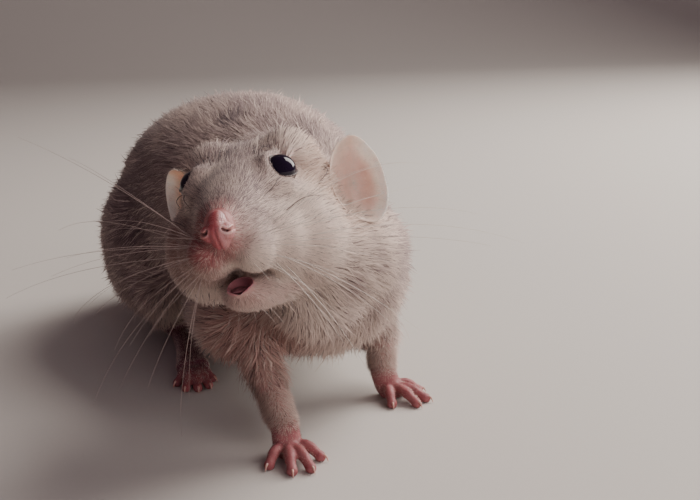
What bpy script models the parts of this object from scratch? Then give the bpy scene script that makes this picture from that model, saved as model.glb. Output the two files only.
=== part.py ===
"""A pet rat, life size, as a still museum model. It crouches with its chest raised and its head
turned to its right. The body faces -Y, so its left side is at +X, and +Z is up.
Sizes are named in millimetres, and the meshes are made in metres."""

import math
import random

import bmesh
import bpy
import numpy as np
from mathutils import Matrix, Vector

MM = 0.001
GAP = 0.3  # clearance between two solids that meet
FAR = 400.0  # longer than the whole animal
SIDES = (("left", 1.0), ("right", -1.0))
DOME_STEPS = 4  # rings in the rounded end of a tube

# Torso sections: distance behind the shoulders, half width, top, bottom
TORSO = (
    (-26.0, 6.0, 36.0, 27.0),
    (-20.0, 15.5, 46.0, 18.0),
    (-9.0, 21.0, 53.5, 13.5),
    (6.0, 24.5, 59.0, 11.5),
    (24.0, 28.0, 65.0, 10.5),
    (44.0, 32.5, 70.0, 9.5),
    (64.0, 35.0, 71.0, 8.5),
    (82.0, 34.0, 66.5, 8.0),
    (97.0, 29.0, 56.0, 8.5),
    (108.0, 19.5, 41.0, 9.5),
    (115.0, 7.0, 25.0, 12.0),
)
SHOULDER = {"centre": (13.5, 1.0, 33.0), "radii": (12.0, 15.0, 17.5)}
HAUNCH = {"centre": (25.0, 68.0, 30.0), "radii": (16.0, 27.0, 23.0)}
NECK = (((-15.0, -13.0, 49.0), 17.5), ((-7.0, -3.0, 44.0), 20.0), ((0.0, 9.0, 39.0), 22.0))
# Loose fur between the left cheek and the shoulder, which the turned head stretches
RUFF = (((-5.5, -24.0, 43.0), 12.5), ((3.0, -17.0, 40.5), 13.5), ((12.0, -4.0, 37.5), 12.0))

# The head's own frame faces -Y, with its origin under the eyes at the height of the nose
HEAD_PLACE = (-22.7, -28.0, 52.0)
HEAD_YAW, HEAD_PITCH, HEAD_ROLL = -30.3, 9.3, 10.6
# Head and jaw sections: distance behind the eyes, half width, top, bottom
HEAD = (
    (-23.2, 1.8, 2.0, -2.6),
    (-21.6, 3.1, 3.7, -4.0),
    (-19.0, 4.9, 5.8, -5.8),
    (-15.0, 6.9, 8.4, -7.5),
    (-10.5, 8.4, 10.9, -8.6),
    (-4.0, 10.2, 13.6, -10.5),
    (2.0, 12.8, 15.8, -14.0),
    (9.0, 15.6, 18.0, -17.0),
    (17.0, 17.8, 19.0, -18.0),
    (26.0, 18.0, 18.2, -16.5),
)
JAW = (
    (-15.6, 1.6, -12.6, -14.6),
    (-13.6, 3.7, -11.2, -16.1),
    (-8.0, 6.2, -9.6, -17.8),
    (0.0, 9.4, -8.0, -18.6),
    (8.0, 12.0, -5.0, -19.0),
)
WHISKER_PAD = {"centre": (4.6, -14.2, -4.6), "radii": (4.8, 7.4, 5.2)}
JOWL = {"centre": (8.4, -4.6, -4.4), "radii": (6.2, 9.8, 7.8)}
CHEEK = {"centre": (11.8, 4.6, -4.6), "radii": (8.8, 12.8, 11.6)}
BROW = {"centre": (7.4, 1.0, 10.6), "radii": (4.2, 6.8, 4.2)}

# Cuts between the head's nodes, each a point and the way forwards, in the head's frame
HEAD_NECK = ((0.0, 15.0, -1.5), (0.0, -0.93, 0.37))
MUZZLE_PLANE = ((0.0, -9.0, 0.0), (0.0, -1.0, 0.0))
NOSE_PLANE = ((0.0, -21.4, 0.0), (0.0, -1.0, 0.12))
NOSE_STUB = ((0.0, -18.0, 0.0), (0.0, -1.0, 0.0))
MOUTH_LINE = ((0.0, -14.0, -10.9), (0.0, -0.16, -1.0))
JAW_BACK = ((0.0, -7.0, 0.0), (0.0, -1.0, 0.0))
TONGUE_TOP = ((0.0, -14.0, -11.6), (0.0, 0.1, 1.0))
TONGUE_TIP = ((0.0, -14.2, 0.0), (0.0, -1.0, 0.0))
# Cuts in the rat's frame: the neck from the torso, and every ankle and wrist
NECK_TORSO = ((-4.0, -3.0, 45.0), (-0.4, -0.55, 0.73))
ANKLES = ((0.0, 0.0, 8.0), (0.0, 0.0, 1.0))
FORELEG_REGION = (15.0, 11.0, 8.0)
REGION_SHOULDER = (21.0, 5.0, 31.0)
THIGH_REGION = {"centre": (31.0, 66.0, 26.0), "radii": (17.0, 30.0, 30.0)}
FACE_TRIANGLES, BODY_TRIANGLES, PAW_TRIANGLES = 7200, 3600, 460

ORBIT = {"centre": (7.4, -1.6, 7.2), "radii": (4.9, 7.4, 5.6)}
EAR_MOUND = {"centre": (12.9, 13.2, 5.0), "radii": (5.6, 8.6, 8.6)}
EYE_CENTRE, EYE_RADIUS = (9.4, -0.8, 10.0), 3.55
EYE_FACING = (0.72, -0.30, 0.62)
LID = {"offset": 0.9, "ring": 3.75, "thick": 0.6}

NOSE = {"centre": (0.0, -22.3, 0.1), "radii": (2.3, 2.1, 2.4)}
NOSE_WING = {"centre": (2.0, -22.3, -0.2), "radii": (1.45, 1.7, 1.8)}
NOSTRIL = {"centre": (2.5, -23.7, 0.4), "radii": (0.5, 1.2, 0.75)}
MOUTH = {"centre": (0.0, -13.4, -11.2), "radii": (3.3, 4.0, 1.9)}
PHILTRUM = {"centre": (0.0, -20.4, -6.0), "radii": (0.4, 2.0, 4.4)}

EAR_ROOT = (18.6, 12.8, 5.6)
EAR_UP, EAR_OUT = (-0.33, 0.02, 1.0), (0.80, 0.60, -0.02)
EAR_HALF_HEIGHT, EAR_HALF_WIDTH = 9.9, 7.2
EAR_CUP, EAR_THICK, EAR_BACK_SHARE, EAR_SUNK = 4.0, 0.9, 0.985, 1.5
EARS = {
    "left": {"turn": 0.0, "shift": (0.0, 0.0, 0.0)},
    "right": {"turn": 12.0, "shift": (-1.3, 0.0, -0.6)},
}

# Whisker rows, top to bottom: degrees above level, and length of the longest
WHISKER_ROWS = ((33.0, 44.0), (16.0, 53.0), (1.0, 56.0), (-27.0, 46.0), (-50.0, 36.0))
WHISKER_COLUMNS, WHISKER_STEPS, WHISKER_RADIUS = 2, 6, 0.3

# Forelegs, shoulder to wrist, and the paws: places in the rat's frame
FORELEGS = {
    "left": {"elbow": (18.0, 1.0, 20.0), "wrist": (15.4, -9.0, 6.0), "toward": (0.52, -0.85)},
    "right": {"elbow": (-18.2, -13.0, 20.5), "wrist": (-17.8, -32.6, 6.0), "toward": (-0.02, -1.0)},
}
FORELEG_SHOULDER = (15.0, 2.0, 33.0)
FORELEG_RADII = (8.5, 5.2, 2.7)
KNEE, SHANK_MIDDLE = (28.0, 47.0, 20.0), (27.0, 57.5, 12.0)
SHANK_RADII = (9.0, 6.5, 4.3)
SOLE_SINK = 0.3  # how far soles and tail are cut flat by the floor
FORE_DIGIT_RADIUS, HIND_DIGIT_RADIUS = 1.1, 1.2
CLAW_RADIUS, CLAW_LENGTH = 0.35, 1.3
FOREPAW_DIGITS = ((-44.0, 5.6), (-11.0, 7.8), (10.0, 7.8), (44.0, 5.2))  # spread, length
HIND_HEEL, HIND_TOES = (22.0, 56.0), (26.2, 24.5)
HIND_FEET_BACK = {"left": 12.0, "right": 0.0}  # how much further back each hind foot rests
HIND_DIGITS = ((-40.0, 4.8), (-17.0, 8.4), (-1.0, 9.4), (15.0, 8.8), (38.0, 5.4))
# The tail's route: across, back, and the height of its underside
TAIL_ROUTE = (
    (0.0, 106.0, 14.0), (0.5, 121.0, 6.0), (3.0, 138.0, 0.0), (11.0, 158.0, 0.0),
    (27.0, 178.0, 0.0), (49.0, 190.0, 0.0), (72.0, 187.0, 0.0), (88.0, 171.0, 0.0), (89.0, 150.0, 0.0),
)
TAIL_BASE_RADIUS, TAIL_TIP_RADIUS = 4.7, 1.0
TAIL_LENGTHS, TAIL_RINGS = 4, 30

COLOURS = {
    "coat": (0.47, 0.40, 0.35, 1.0),
    "skin": (0.62, 0.30, 0.27, 1.0),
    "ear": (0.68, 0.42, 0.34, 1.0),
    "eye": (0.01, 0.01, 0.012, 1.0),
    "nose": (0.60, 0.24, 0.24, 1.0),
    "tail": (0.52, 0.36, 0.32, 1.0),
}
ROUGHNESS = {"coat": 0.9, "skin": 0.6, "ear": 0.65, "eye": 0.05, "nose": 0.4, "tail": 0.7}


def clear_scene():
    for old in list(bpy.data.objects):
        bpy.data.objects.remove(old, do_unlink=True)


def head_matrix():
    """From the head's own frame to the rat's."""
    yaw = Matrix.Rotation(math.radians(HEAD_YAW), 4, "Z")
    pitch = Matrix.Rotation(math.radians(-HEAD_PITCH), 4, "X")
    roll = Matrix.Rotation(math.radians(-HEAD_ROLL), 4, "Y")
    return Matrix.Translation(HEAD_PLACE) @ yaw @ pitch @ roll


HEAD_FRAME = head_matrix()
RAT_FRAME = Matrix.Identity(4)


def placed(name, points, faces, frame=RAT_FRAME):
    """A mesh object from points in millimetres, given in a frame of their own."""
    mesh = bpy.data.meshes.new(name)
    mesh.from_pydata([MM * (frame @ Vector(p)) for p in points], [], faces)
    mesh.validate()
    obj = bpy.data.objects.new(name, mesh)
    bpy.context.scene.collection.objects.link(obj)
    face_outwards(obj)
    return obj


def face_outwards(obj):
    bm = bmesh.new()
    bm.from_mesh(obj.data)
    bmesh.ops.recalc_face_normals(bm, faces=bm.faces)
    bm.to_mesh(obj.data)
    bm.free()


def remove(*objects):
    for obj in objects:
        bpy.data.objects.remove(obj, do_unlink=True)


def apply_modifiers(obj):
    """The object's mesh becomes what its modifiers make of it."""
    bpy.context.view_layer.update()
    graph = bpy.context.evaluated_depsgraph_get()
    made = bpy.data.meshes.new_from_object(obj.evaluated_get(graph))
    obj.modifiers.clear()
    obj.data = made
    return obj


def copy_of(obj, name):
    twin = bpy.data.objects.new(name, obj.data.copy())
    bpy.context.scene.collection.objects.link(twin)
    return twin


def between(values, t):
    """A smooth curve through evenly spaced values, each a number or a tuple, at t from 0 to 1."""
    v = np.asarray(values, float)
    at = min(max(t, 0.0), 1.0) * (len(v) - 1)
    i = min(int(at), len(v) - 2)
    u = at - i
    before, after = v[max(i - 1, 0)], v[min(i + 2, len(v) - 1)]
    rise_a, rise_b = (v[i + 1] - before) / 2, (after - v[i]) / 2
    return (
        v[i] * (2 * u**3 - 3 * u**2 + 1)
        + rise_a * (u**3 - 2 * u**2 + u)
        + v[i + 1] * (3 * u**2 - 2 * u**3)
        + rise_b * (u**3 - u**2)
    )


def ring_faces(rings, sides):
    """Quads between rings of points, and a polygon over each end."""
    faces = [tuple(reversed(range(sides)))]
    for r in range(rings - 1):
        for s in range(sides):
            n = (s + 1) % sides
            faces.append((r * sides + s, r * sides + n, (r + 1) * sides + n, (r + 1) * sides + s))
    faces.append(tuple((rings - 1) * sides + s for s in range(sides)))
    return faces


def sections(name, table, frame=RAT_FRAME, rings=28, sides=36, squareness=2.2):
    """A body lofted along Y through (y, half width, top, bottom) sections."""
    points = []
    for r in range(rings):
        y, half, top, bottom = between(table, r / (rings - 1))
        for s in range(sides):
            a = math.tau * s / sides
            across = math.copysign(abs(math.cos(a)) ** (2 / squareness), math.cos(a))
            up = math.copysign(abs(math.sin(a)) ** (2 / squareness), math.sin(a))
            points.append((half * across, y, (top + bottom) / 2 + (top - bottom) / 2 * up))
    return placed(name, points, ring_faces(rings, sides), frame)


def blob(name, centre, radii, frame=RAT_FRAME, side=1.0, level=3):
    """An ellipsoid. With side -1 it is on the right, mirrored."""
    bm = bmesh.new()
    bmesh.ops.create_icosphere(bm, subdivisions=level, radius=1.0)
    points = [v.co.copy() for v in bm.verts]
    faces = [tuple(v.index for v in f.verts) for f in bm.faces]
    bm.free()
    local = Matrix.Translation(centre) @ Matrix.Diagonal((*radii, 1.0))
    mirror = Matrix.Diagonal((side, 1.0, 1.0, 1.0))
    return placed(name, points, faces, frame @ mirror @ local)


def tube(name, route, radii, frame=RAT_FRAME, rings=16, sides=12, round_ends=True, start=0.0):
    """A round body along a smooth route, or its last part, with radii that follow it."""
    steps = [start + (1 - start) * i / (rings - 1) for i in range(rings)]
    centres = [Vector(between(route, t)) for t in steps]
    sizes = [float(between(radii, t)) for t in steps]
    along = [(centres[min(i + 1, rings - 1)] - centres[max(i - 1, 0)]).normalized() for i in range(rings)]
    if round_ends:
        near = (centres[0], sizes[0], -along[0])
        far = (centres[-1], sizes[-1], along[-1])
        for step in range(1, DOME_STEPS + 1):
            a = math.radians(80) * step / DOME_STEPS
            centres.insert(0, near[0] + near[2] * near[1] * math.sin(a))
            sizes.insert(0, near[1] * math.cos(a))
            along.insert(0, -near[2])
            centres.append(far[0] + far[2] * far[1] * math.sin(a))
            sizes.append(far[1] * math.cos(a))
            along.append(far[2])
    across = along[0].orthogonal().normalized()
    points = []
    for centre, size, heading in zip(centres, sizes, along):
        across = (across - heading * across.dot(heading)).normalized()
        up = heading.cross(across)
        for s in range(sides):
            a = math.tau * s / sides
            points.append(centre + size * (across * math.cos(a) + up * math.sin(a)))
    return placed(name, points, ring_faces(len(centres), sides), frame)


def half_space(name, point, normal, frame=RAT_FRAME, back=0.0):
    """A large block on the side of a plane that its normal points to, set back from the plane."""
    turn = Vector(normal).to_track_quat("Z", "Y").to_matrix().to_4x4()
    local = frame @ Matrix.Translation(point) @ turn @ Matrix.Translation((0, 0, back))
    corners = [(x, y, z) for z in (0, FAR) for x, y in ((-FAR, -FAR), (FAR, -FAR), (FAR, FAR), (-FAR, FAR))]
    return placed(name, corners, ring_faces(2, 4), local)


def combine(obj, other, operation, solver="EXACT"):
    """A Boolean of obj with other, applied. The other object is removed."""
    cut = obj.modifiers.new("cut", "BOOLEAN")
    cut.operation, cut.object, cut.solver = operation, other, solver
    apply_modifiers(obj)
    remove(other)
    return largest_shell(obj)


def unite(obj, others):
    """One Boolean union of obj with a collection of closed pieces, which are then removed."""
    pieces = bpy.data.collections.new("pieces")
    bpy.context.scene.collection.children.link(pieces)
    for other in others:
        bpy.context.scene.collection.objects.unlink(other)
        pieces.objects.link(other)
    join = obj.modifiers.new("join", "BOOLEAN")
    join.operation, join.operand_type, join.collection = "UNION", "COLLECTION", pieces
    join.solver = "MANIFOLD"
    apply_modifiers(obj)
    remove(*others)
    bpy.data.collections.remove(pieces)
    return largest_shell(obj)


def largest_shell(obj):
    """Keeps the largest closed surface of a mesh, and drops loose scraps and sealed hollows."""
    bm = bmesh.new()
    bm.from_mesh(obj.data)
    bm.faces.ensure_lookup_table()
    seen, shells = set(), []
    for face in bm.faces:
        if face in seen:
            continue
        shell, queue = [], [face]
        seen.add(face)
        while queue:
            here = queue.pop()
            shell.append(here)
            for edge in here.edges:
                for linked in edge.link_faces:
                    if linked not in seen:
                        seen.add(linked)
                        queue.append(linked)
        shells.append(shell)
    if len(shells) > 1:
        keep = max(shells, key=lambda s: sum(f.calc_area() for f in s))
        scraps = [f for s in shells if s is not keep for f in s]
        bmesh.ops.delete(bm, geom=scraps, context="FACES")
    bm.to_mesh(obj.data)
    bm.free()
    return obj


def fuse(name, pieces, voxel, rounds, triangles):
    """Overlapping pieces made one smooth closed surface of about that many triangles."""
    bm = bmesh.new()
    for piece in pieces:
        bm.from_mesh(piece.data)
    mesh = bpy.data.meshes.new(name)
    bm.to_mesh(mesh)
    bm.free()
    remove(*pieces)
    obj = bpy.data.objects.new(name, mesh)
    bpy.context.scene.collection.objects.link(obj)
    remesh = obj.modifiers.new("remesh", "REMESH")
    remesh.mode, remesh.voxel_size = "VOXEL", voxel * MM
    smooth = obj.modifiers.new("smooth", "SMOOTH")
    smooth.factor, smooth.iterations = 0.5, rounds
    apply_modifiers(obj)
    faces = 2 * len(obj.data.polygons)
    thin = obj.modifiers.new("thin", "DECIMATE")
    thin.ratio = min(1.0, triangles / faces)
    apply_modifiers(obj)
    return largest_shell(obj)


def swollen(obj, name, by):
    """A copy of a solid, grown outwards along its normals."""
    twin = copy_of(obj, name)
    grow = twin.modifiers.new("grow", "DISPLACE")
    grow.strength, grow.mid_level = by * MM, 0.0
    return apply_modifiers(twin)


def clear_of(obj, other):
    """Cuts obj back from another solid, to the usual gap."""
    return combine(obj, swollen(other, "clearance", GAP), "DIFFERENCE")


def head_blob(name, spec, side=1.0, grow=0.0, level=3):
    radii = tuple(r + grow for r in spec["radii"])
    return blob(name, spec["centre"], radii, HEAD_FRAME, side, level=level)


def neck_pieces():
    made = []
    for form in (NECK, RUFF):
        made.append(tube("neck_core", [p for p, _ in form], [r for _, r in form], rings=10, sides=28))
    return made


def head_pieces():
    made = [sections("skull", HEAD, HEAD_FRAME), sections("jaw", JAW, HEAD_FRAME, rings=14)]
    for name, side in SIDES:
        made.append(head_blob("pad_" + name, WHISKER_PAD, side))
        made.append(head_blob("jowl_" + name, JOWL, side))
        made.append(head_blob("cheek_" + name, CHEEK, side))
        made.append(head_blob("brow_" + name, BROW, side))
        made.append(head_blob("orbit_" + name, ORBIT, side))
        made.append(head_blob("ear_mound_" + name, EAR_MOUND, side))
    return made


def on_side(place, side):
    """A place given for the left side, or its mirror image on the right."""
    return (side * place[0], *place[1:])


def foreleg_route(name, side):
    leg = FORELEGS[name]
    return [on_side(FORELEG_SHOULDER, side), leg["elbow"], leg["wrist"]]


def body_pieces():
    made = [sections("trunk", TORSO, rings=36, squareness=2.1)]
    for name, side in SIDES:
        made.append(blob("shoulder_" + name, SHOULDER["centre"], SHOULDER["radii"], side=side))
        made.append(blob("haunch_" + name, HAUNCH["centre"], HAUNCH["radii"], side=side))
        made.append(tube("arm_" + name, foreleg_route(name, side), FORELEG_RADII, sides=20))
        made.append(tube("shank_" + name, shank_route(name, side), SHANK_RADII, sides=16))
    return made


def foreleg_region(name, side, grow):
    """The space that a foreleg's node takes from the body, from its shoulder to its wrist."""
    radii = [r + grow for r in FORELEG_REGION]
    route = foreleg_route(name, side)
    route[0] = on_side(REGION_SHOULDER, side)
    return tube("region", route, radii, rings=10, sides=20)


def thigh_region(side, grow):
    radii = tuple(r + grow for r in THIGH_REGION["radii"])
    return blob("region", THIGH_REGION["centre"], radii, side=side)


def front_part(obj, plane, frame=RAT_FRAME, back=0.0):
    """Keeps the part of a solid that a plane's normal points to, set back from the plane."""
    point, normal = plane
    reverse = tuple(-n for n in normal)
    return combine(obj, half_space("block", point, reverse, frame, -back), "DIFFERENCE")


def rear_part(obj, plane, frame=RAT_FRAME, back=0.0):
    """Keeps the part of a solid that a plane's normal points away from, set back from the plane."""
    point, normal = plane
    return combine(obj, half_space("block", point, normal, frame, -back), "DIFFERENCE")


def eye_socket(side):
    return blob("socket", EYE_CENTRE, [EYE_RADIUS + GAP] * 3, HEAD_FRAME, side)


def make_eye(name, side):
    return blob("eye_" + name, EYE_CENTRE, [EYE_RADIUS] * 3, HEAD_FRAME, side)


def lids(side):
    """A ring of lid round one eye."""
    facing = Vector(on_side(EYE_FACING, side)).normalized()
    centre = Vector(on_side(EYE_CENTRE, side)) + facing * LID["offset"]
    across = facing.orthogonal().normalized()
    up = facing.cross(across)
    points, faces = [], []
    around, sides = 24, 6
    for i in range(around):
        a = math.tau * i / around
        spoke = across * math.cos(a) + up * math.sin(a)
        for k in range(sides):
            b = math.tau * k / sides
            reach = LID["ring"] + LID["thick"] * math.cos(b)
            points.append(centre + spoke * reach + facing * LID["thick"] * math.sin(b))
            i2, k2 = (i + 1) % around, (k + 1) % sides
            faces.append((i * sides + k, i2 * sides + k, i2 * sides + k2, i * sides + k2))
    return placed("lid", points, faces, HEAD_FRAME)


def carve_face(head):
    """Eye sockets with their lids, the mouth and the groove under the nose."""
    for _, side in SIDES:
        unite(head, [lids(side)])
        combine(head, eye_socket(side), "DIFFERENCE")
    combine(head, head_blob("mouth", MOUTH, level=2), "DIFFERENCE")
    combine(head, head_blob("groove", PHILTRUM, level=2), "DIFFERENCE")
    return head


def make_nose():
    """The bare pad round the nostrils."""
    tip = front_part(sections("tip", HEAD, HEAD_FRAME), NOSE_STUB, HEAD_FRAME)
    pieces = [tip, head_blob("pad", NOSE)]
    pieces += [head_blob("wing", NOSE_WING, side) for _, side in SIDES]
    nose = fuse("nose", pieces, 0.22, 4, 520)
    for _, side in SIDES:
        combine(nose, head_blob("nostril", NOSTRIL, side, level=2), "DIFFERENCE")
    return front_part(nose, NOSE_PLANE, HEAD_FRAME)


def make_tongue():
    tongue = head_blob("tongue", MOUTH, grow=-GAP, level=2)
    rear_part(tongue, TONGUE_TOP, HEAD_FRAME)
    return rear_part(tongue, TONGUE_TIP, HEAD_FRAME)


def whisker(root, heading, length, droop):
    """A stiff tapering hair that bends down and back."""
    route = []
    for i in range(WHISKER_STEPS + 1):
        t = i / WHISKER_STEPS
        bend = Vector((0.0, 0.35, -1.0)) * droop * t * t
        route.append(root + heading * length * t + bend)
    radii = (WHISKER_RADIUS, 0.9 * WHISKER_RADIUS, 0.5 * WHISKER_RADIUS)
    return tube("whisker", route, radii, HEAD_FRAME, rings=WHISKER_STEPS + 1, sides=3, round_ends=False)


def whiskers():
    draw = random.Random(7)
    made = []
    for _, side in SIDES:
        for row, (rise, reach) in enumerate(WHISKER_ROWS):
            for column in range(WHISKER_COLUMNS):
                back = column / (WHISKER_COLUMNS - 1)
                root = Vector((side * (6.2 + 1.4 * back), -17.0 + 5.2 * back, -1.4 - 1.5 * row))
                sweep = math.radians(4 + 9 * back + draw.uniform(-4, 4))
                lift = math.radians(rise + draw.uniform(-5, 5))
                flat = math.cos(lift)
                heading = Vector((side * flat * math.cos(sweep), flat * math.sin(sweep), math.sin(lift)))
                length = reach * (0.62 + 0.38 * back) * draw.uniform(0.92, 1.05)
                made.append(whisker(root, heading, length, draw.uniform(2.0, 7.0)))
    return made


def ear_point(side, angle, out, behind):
    """A point of the ear's bowl, out from its middle by a share of the way to its rim."""
    rim = 1.0 + 0.04 * math.cos(3 * angle)
    cup = EAR_CUP * (1.0 - out * out)
    across = -EAR_HALF_WIDTH * math.cos(angle) * out * rim
    up = EAR_HALF_HEIGHT * math.sin(angle) * out * rim
    return across, up, cup + behind


def make_ear(name, side):
    """One ear: a thin shallow bowl, its rim rounded, turned by its own angle about its root."""
    spec = EARS[name]
    out = Matrix.Rotation(math.radians(spec["turn"]), 3, "Z") @ Vector(EAR_OUT).normalized()
    up = (Vector(EAR_UP) - out * out.dot(Vector(EAR_UP))).normalized()
    back = up.cross(out)
    middle = Vector(EAR_ROOT) + Vector(spec["shift"]) + out * (EAR_HALF_WIDTH - EAR_SUNK)
    rings, sides = 5, 22
    points = []
    shares = [0.16 + 0.84 * r / (rings - 1) for r in range(rings)]
    front = [(s, 0.0) for s in shares]
    rear = [(s * EAR_BACK_SHARE, EAR_THICK) for s in reversed(shares)]
    for share, behind in front + [(1.015, EAR_THICK / 2)] + rear:
        for s in range(sides):
            across, height, depth = ear_point(side, math.tau * s / sides, share, behind)
            p = middle + out * across + up * height + back * depth
            points.append((side * p.x, p.y, p.z))
    ear = placed("ear_" + name, points, ring_faces(len(points) // sides, sides), HEAD_FRAME)
    return triangulated(ear)


def triangulated(obj):
    bm = bmesh.new()
    bm.from_mesh(obj.data)
    bmesh.ops.triangulate(bm, faces=bm.faces)
    bm.to_mesh(obj.data)
    bm.free()
    return obj


def aimed(direction, degrees):
    """A level direction turned about the upright axis."""
    return Matrix.Rotation(math.radians(degrees), 3, "Z") @ Vector((*direction, 0.0)).normalized()


def digit(base, heading, length, radius, knuckle):
    """A toe that rises to a knuckle and comes down to rest on its tip."""
    tip = base + heading * length
    tip.z = radius - SOLE_SINK
    middle = base + heading * length * 0.45
    middle.z = base.z + knuckle
    return tube("digit", (base, middle, tip), (radius * 1.05, radius, radius * 0.92), rings=8, sides=10)


def claw(base, heading, length, radius):
    tip = base + heading * (length + radius * 0.6)
    start = Vector((tip.x, tip.y, radius * 0.95)) - heading * radius * 0.5
    end = Vector((tip.x, tip.y, CLAW_RADIUS)) + heading * CLAW_LENGTH
    middle = (start + end) / 2 + Vector((0, 0, 0.25))
    radii = (CLAW_RADIUS * 1.5, CLAW_RADIUS, CLAW_RADIUS * 0.5)
    return tube("claw", (start, middle, end), radii, rings=4, sides=5, round_ends=False)


def on_floor(obj):
    """Cuts a foot or tail flat where it would sink below the floor."""
    return rear_part(obj, ((0, 0, 0), (0, 0, -1)))


def make_paw(name, pieces, digits):
    """A paw from its palm's pieces and its digits, each a base, heading, length and radius."""
    for base, heading, length, radius in digits:
        pieces.append(digit(base, heading, length, radius, 0.5))
    paw = fuse(name, pieces, 0.32, 4, PAW_TRIANGLES)
    unite(paw, [claw(*spec) for spec in digits])
    return on_floor(rear_part(paw, ANKLES, back=GAP))


def make_forepaw(name, side):
    leg = FORELEGS[name]
    wrist, toward = Vector(leg["wrist"]), leg["toward"]
    ahead_of = aimed(toward, 0)
    palm = wrist + ahead_of * 1.8
    palm.z = 2.3
    pieces = [tube("wrist", foreleg_route(name, side), FORELEG_RADII, sides=18, start=0.7)]
    pieces.append(tube("palm", (wrist, palm, palm + ahead_of * 2.0), (2.7, 2.9, 2.2), rings=6, sides=14))
    thumb = palm + aimed(toward, -side * 80) * 2.6
    pieces.append(blob("thumb", (thumb.x, thumb.y, 1.6), (1.3, 1.5, 1.2), level=2))
    digits = []
    for spread, length in FOREPAW_DIGITS:
        heading = aimed(toward, side * spread)
        base = palm + aimed(toward, side * spread * 1.5) * 2.7
        base.z = 2.5
        digits.append((base, heading, length, FORE_DIGIT_RADIUS))
    return make_paw("forepaw_" + name, pieces, digits)


def make_hind_foot(name, side):
    back = HIND_FEET_BACK[name]
    heel = Vector((side * HIND_HEEL[0], HIND_HEEL[1] + back, 2.5))
    ball = Vector((side * HIND_TOES[0], HIND_TOES[1] + back, 2.4))
    direction = (ball - heel).to_2d()
    pieces = [tube("shank", shank_route(name, side), SHANK_RADII, sides=16, start=0.5)]
    for across in (-1.0, 1.0):
        inner, outer = Vector((0.7 * across, 0.0, 0.0)), Vector((1.7 * across, 0.0, 0.0))
        route = (heel + inner, (heel + ball) / 2 + inner, ball + outer)
        pieces.append(tube("sole", route, (2.9, 2.5, 2.8), rings=10, sides=14))
    digits = []
    for spread, length in HIND_DIGITS:
        heading = aimed(direction, side * spread)
        base = ball + heading * 2.2
        base.z = 2.4
        digits.append((base, heading, length, HIND_DIGIT_RADIUS))
    return make_paw("hind_foot_" + name, pieces, digits)


def shank_route(name, side):
    """The middle of the lower hind leg, from the knee to the heel."""
    back = HIND_FEET_BACK[name]
    middle = (SHANK_MIDDLE[0], SHANK_MIDDLE[1] + back / 2, SHANK_MIDDLE[2])
    heel = (HIND_HEEL[0], HIND_HEEL[1] + back, SHANK_RADII[-1] - SOLE_SINK)
    return [on_side(KNEE, side), on_side(middle, side), on_side(heel, side)]


def tail_radius(t):
    return TAIL_BASE_RADIUS + (TAIL_TIP_RADIUS - TAIL_BASE_RADIUS) * t**0.85


def tail_point(t):
    """The middle of the tail, which comes down from the rump and then lies on the floor."""
    x, y, lift = between(TAIL_ROUTE, t)
    return Vector((x, y, max(lift, 0.0) + tail_radius(t) - SOLE_SINK))


def tail_cut(number):
    """The plane, square to the tail, where one of its lengths ends."""
    t, step = number / TAIL_LENGTHS, 0.01
    return tail_point(t), (tail_point(t + step) - tail_point(t - step)).normalized()


def make_tail(torso):
    """The tail in a few lengths, the first of them cut clear of the rump."""
    marks = [i / TAIL_RINGS for i in range(TAIL_RINGS + 1)]
    route = [tail_point(t) for t in marks]
    radii = [tail_radius(t) for t in marks]
    radii[-1] *= 0.5
    whole = on_floor(tube("tail", route, radii, rings=TAIL_RINGS + 1, sides=10, round_ends=False))
    lengths = []
    for number in range(1, TAIL_LENGTHS + 1):
        piece = copy_of(whole, "tail_%d" % number)
        if number > 1:
            front_part(piece, tail_cut(number - 1), back=GAP)
        if number < TAIL_LENGTHS:
            rear_part(piece, tail_cut(number))
        lengths.append(piece)
    remove(whole)
    clear_of(lengths[0], torso)
    return lengths


def finished(obj, colour):
    """Gives a node its own material, and its rounded faces a smooth shade."""
    material = bpy.data.materials.new(obj.name)
    material.use_nodes = True
    surface = material.node_tree.nodes["Principled BSDF"]
    surface.inputs["Base Color"].default_value = COLOURS[colour]
    surface.inputs["Roughness"].default_value = ROUGHNESS[colour]
    obj.data.materials.clear()
    obj.data.materials.append(material)
    obj.data.shade_smooth()
    obj.data.set_sharp_from_angle(angle=math.radians(40))
    return obj


def stand_at_origin(nodes):
    """Moves the rat so that the origin is under the middle of its box, on the floor."""
    corners = np.array([v.co for n in nodes for v in n.data.vertices])
    low, high = corners.min(axis=0), corners.max(axis=0)
    shift = Vector((-(low[0] + high[0]) / 2, -(low[1] + high[1]) / 2, -low[2]))
    for node in nodes:
        node.data.transform(Matrix.Translation(shift))


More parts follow.
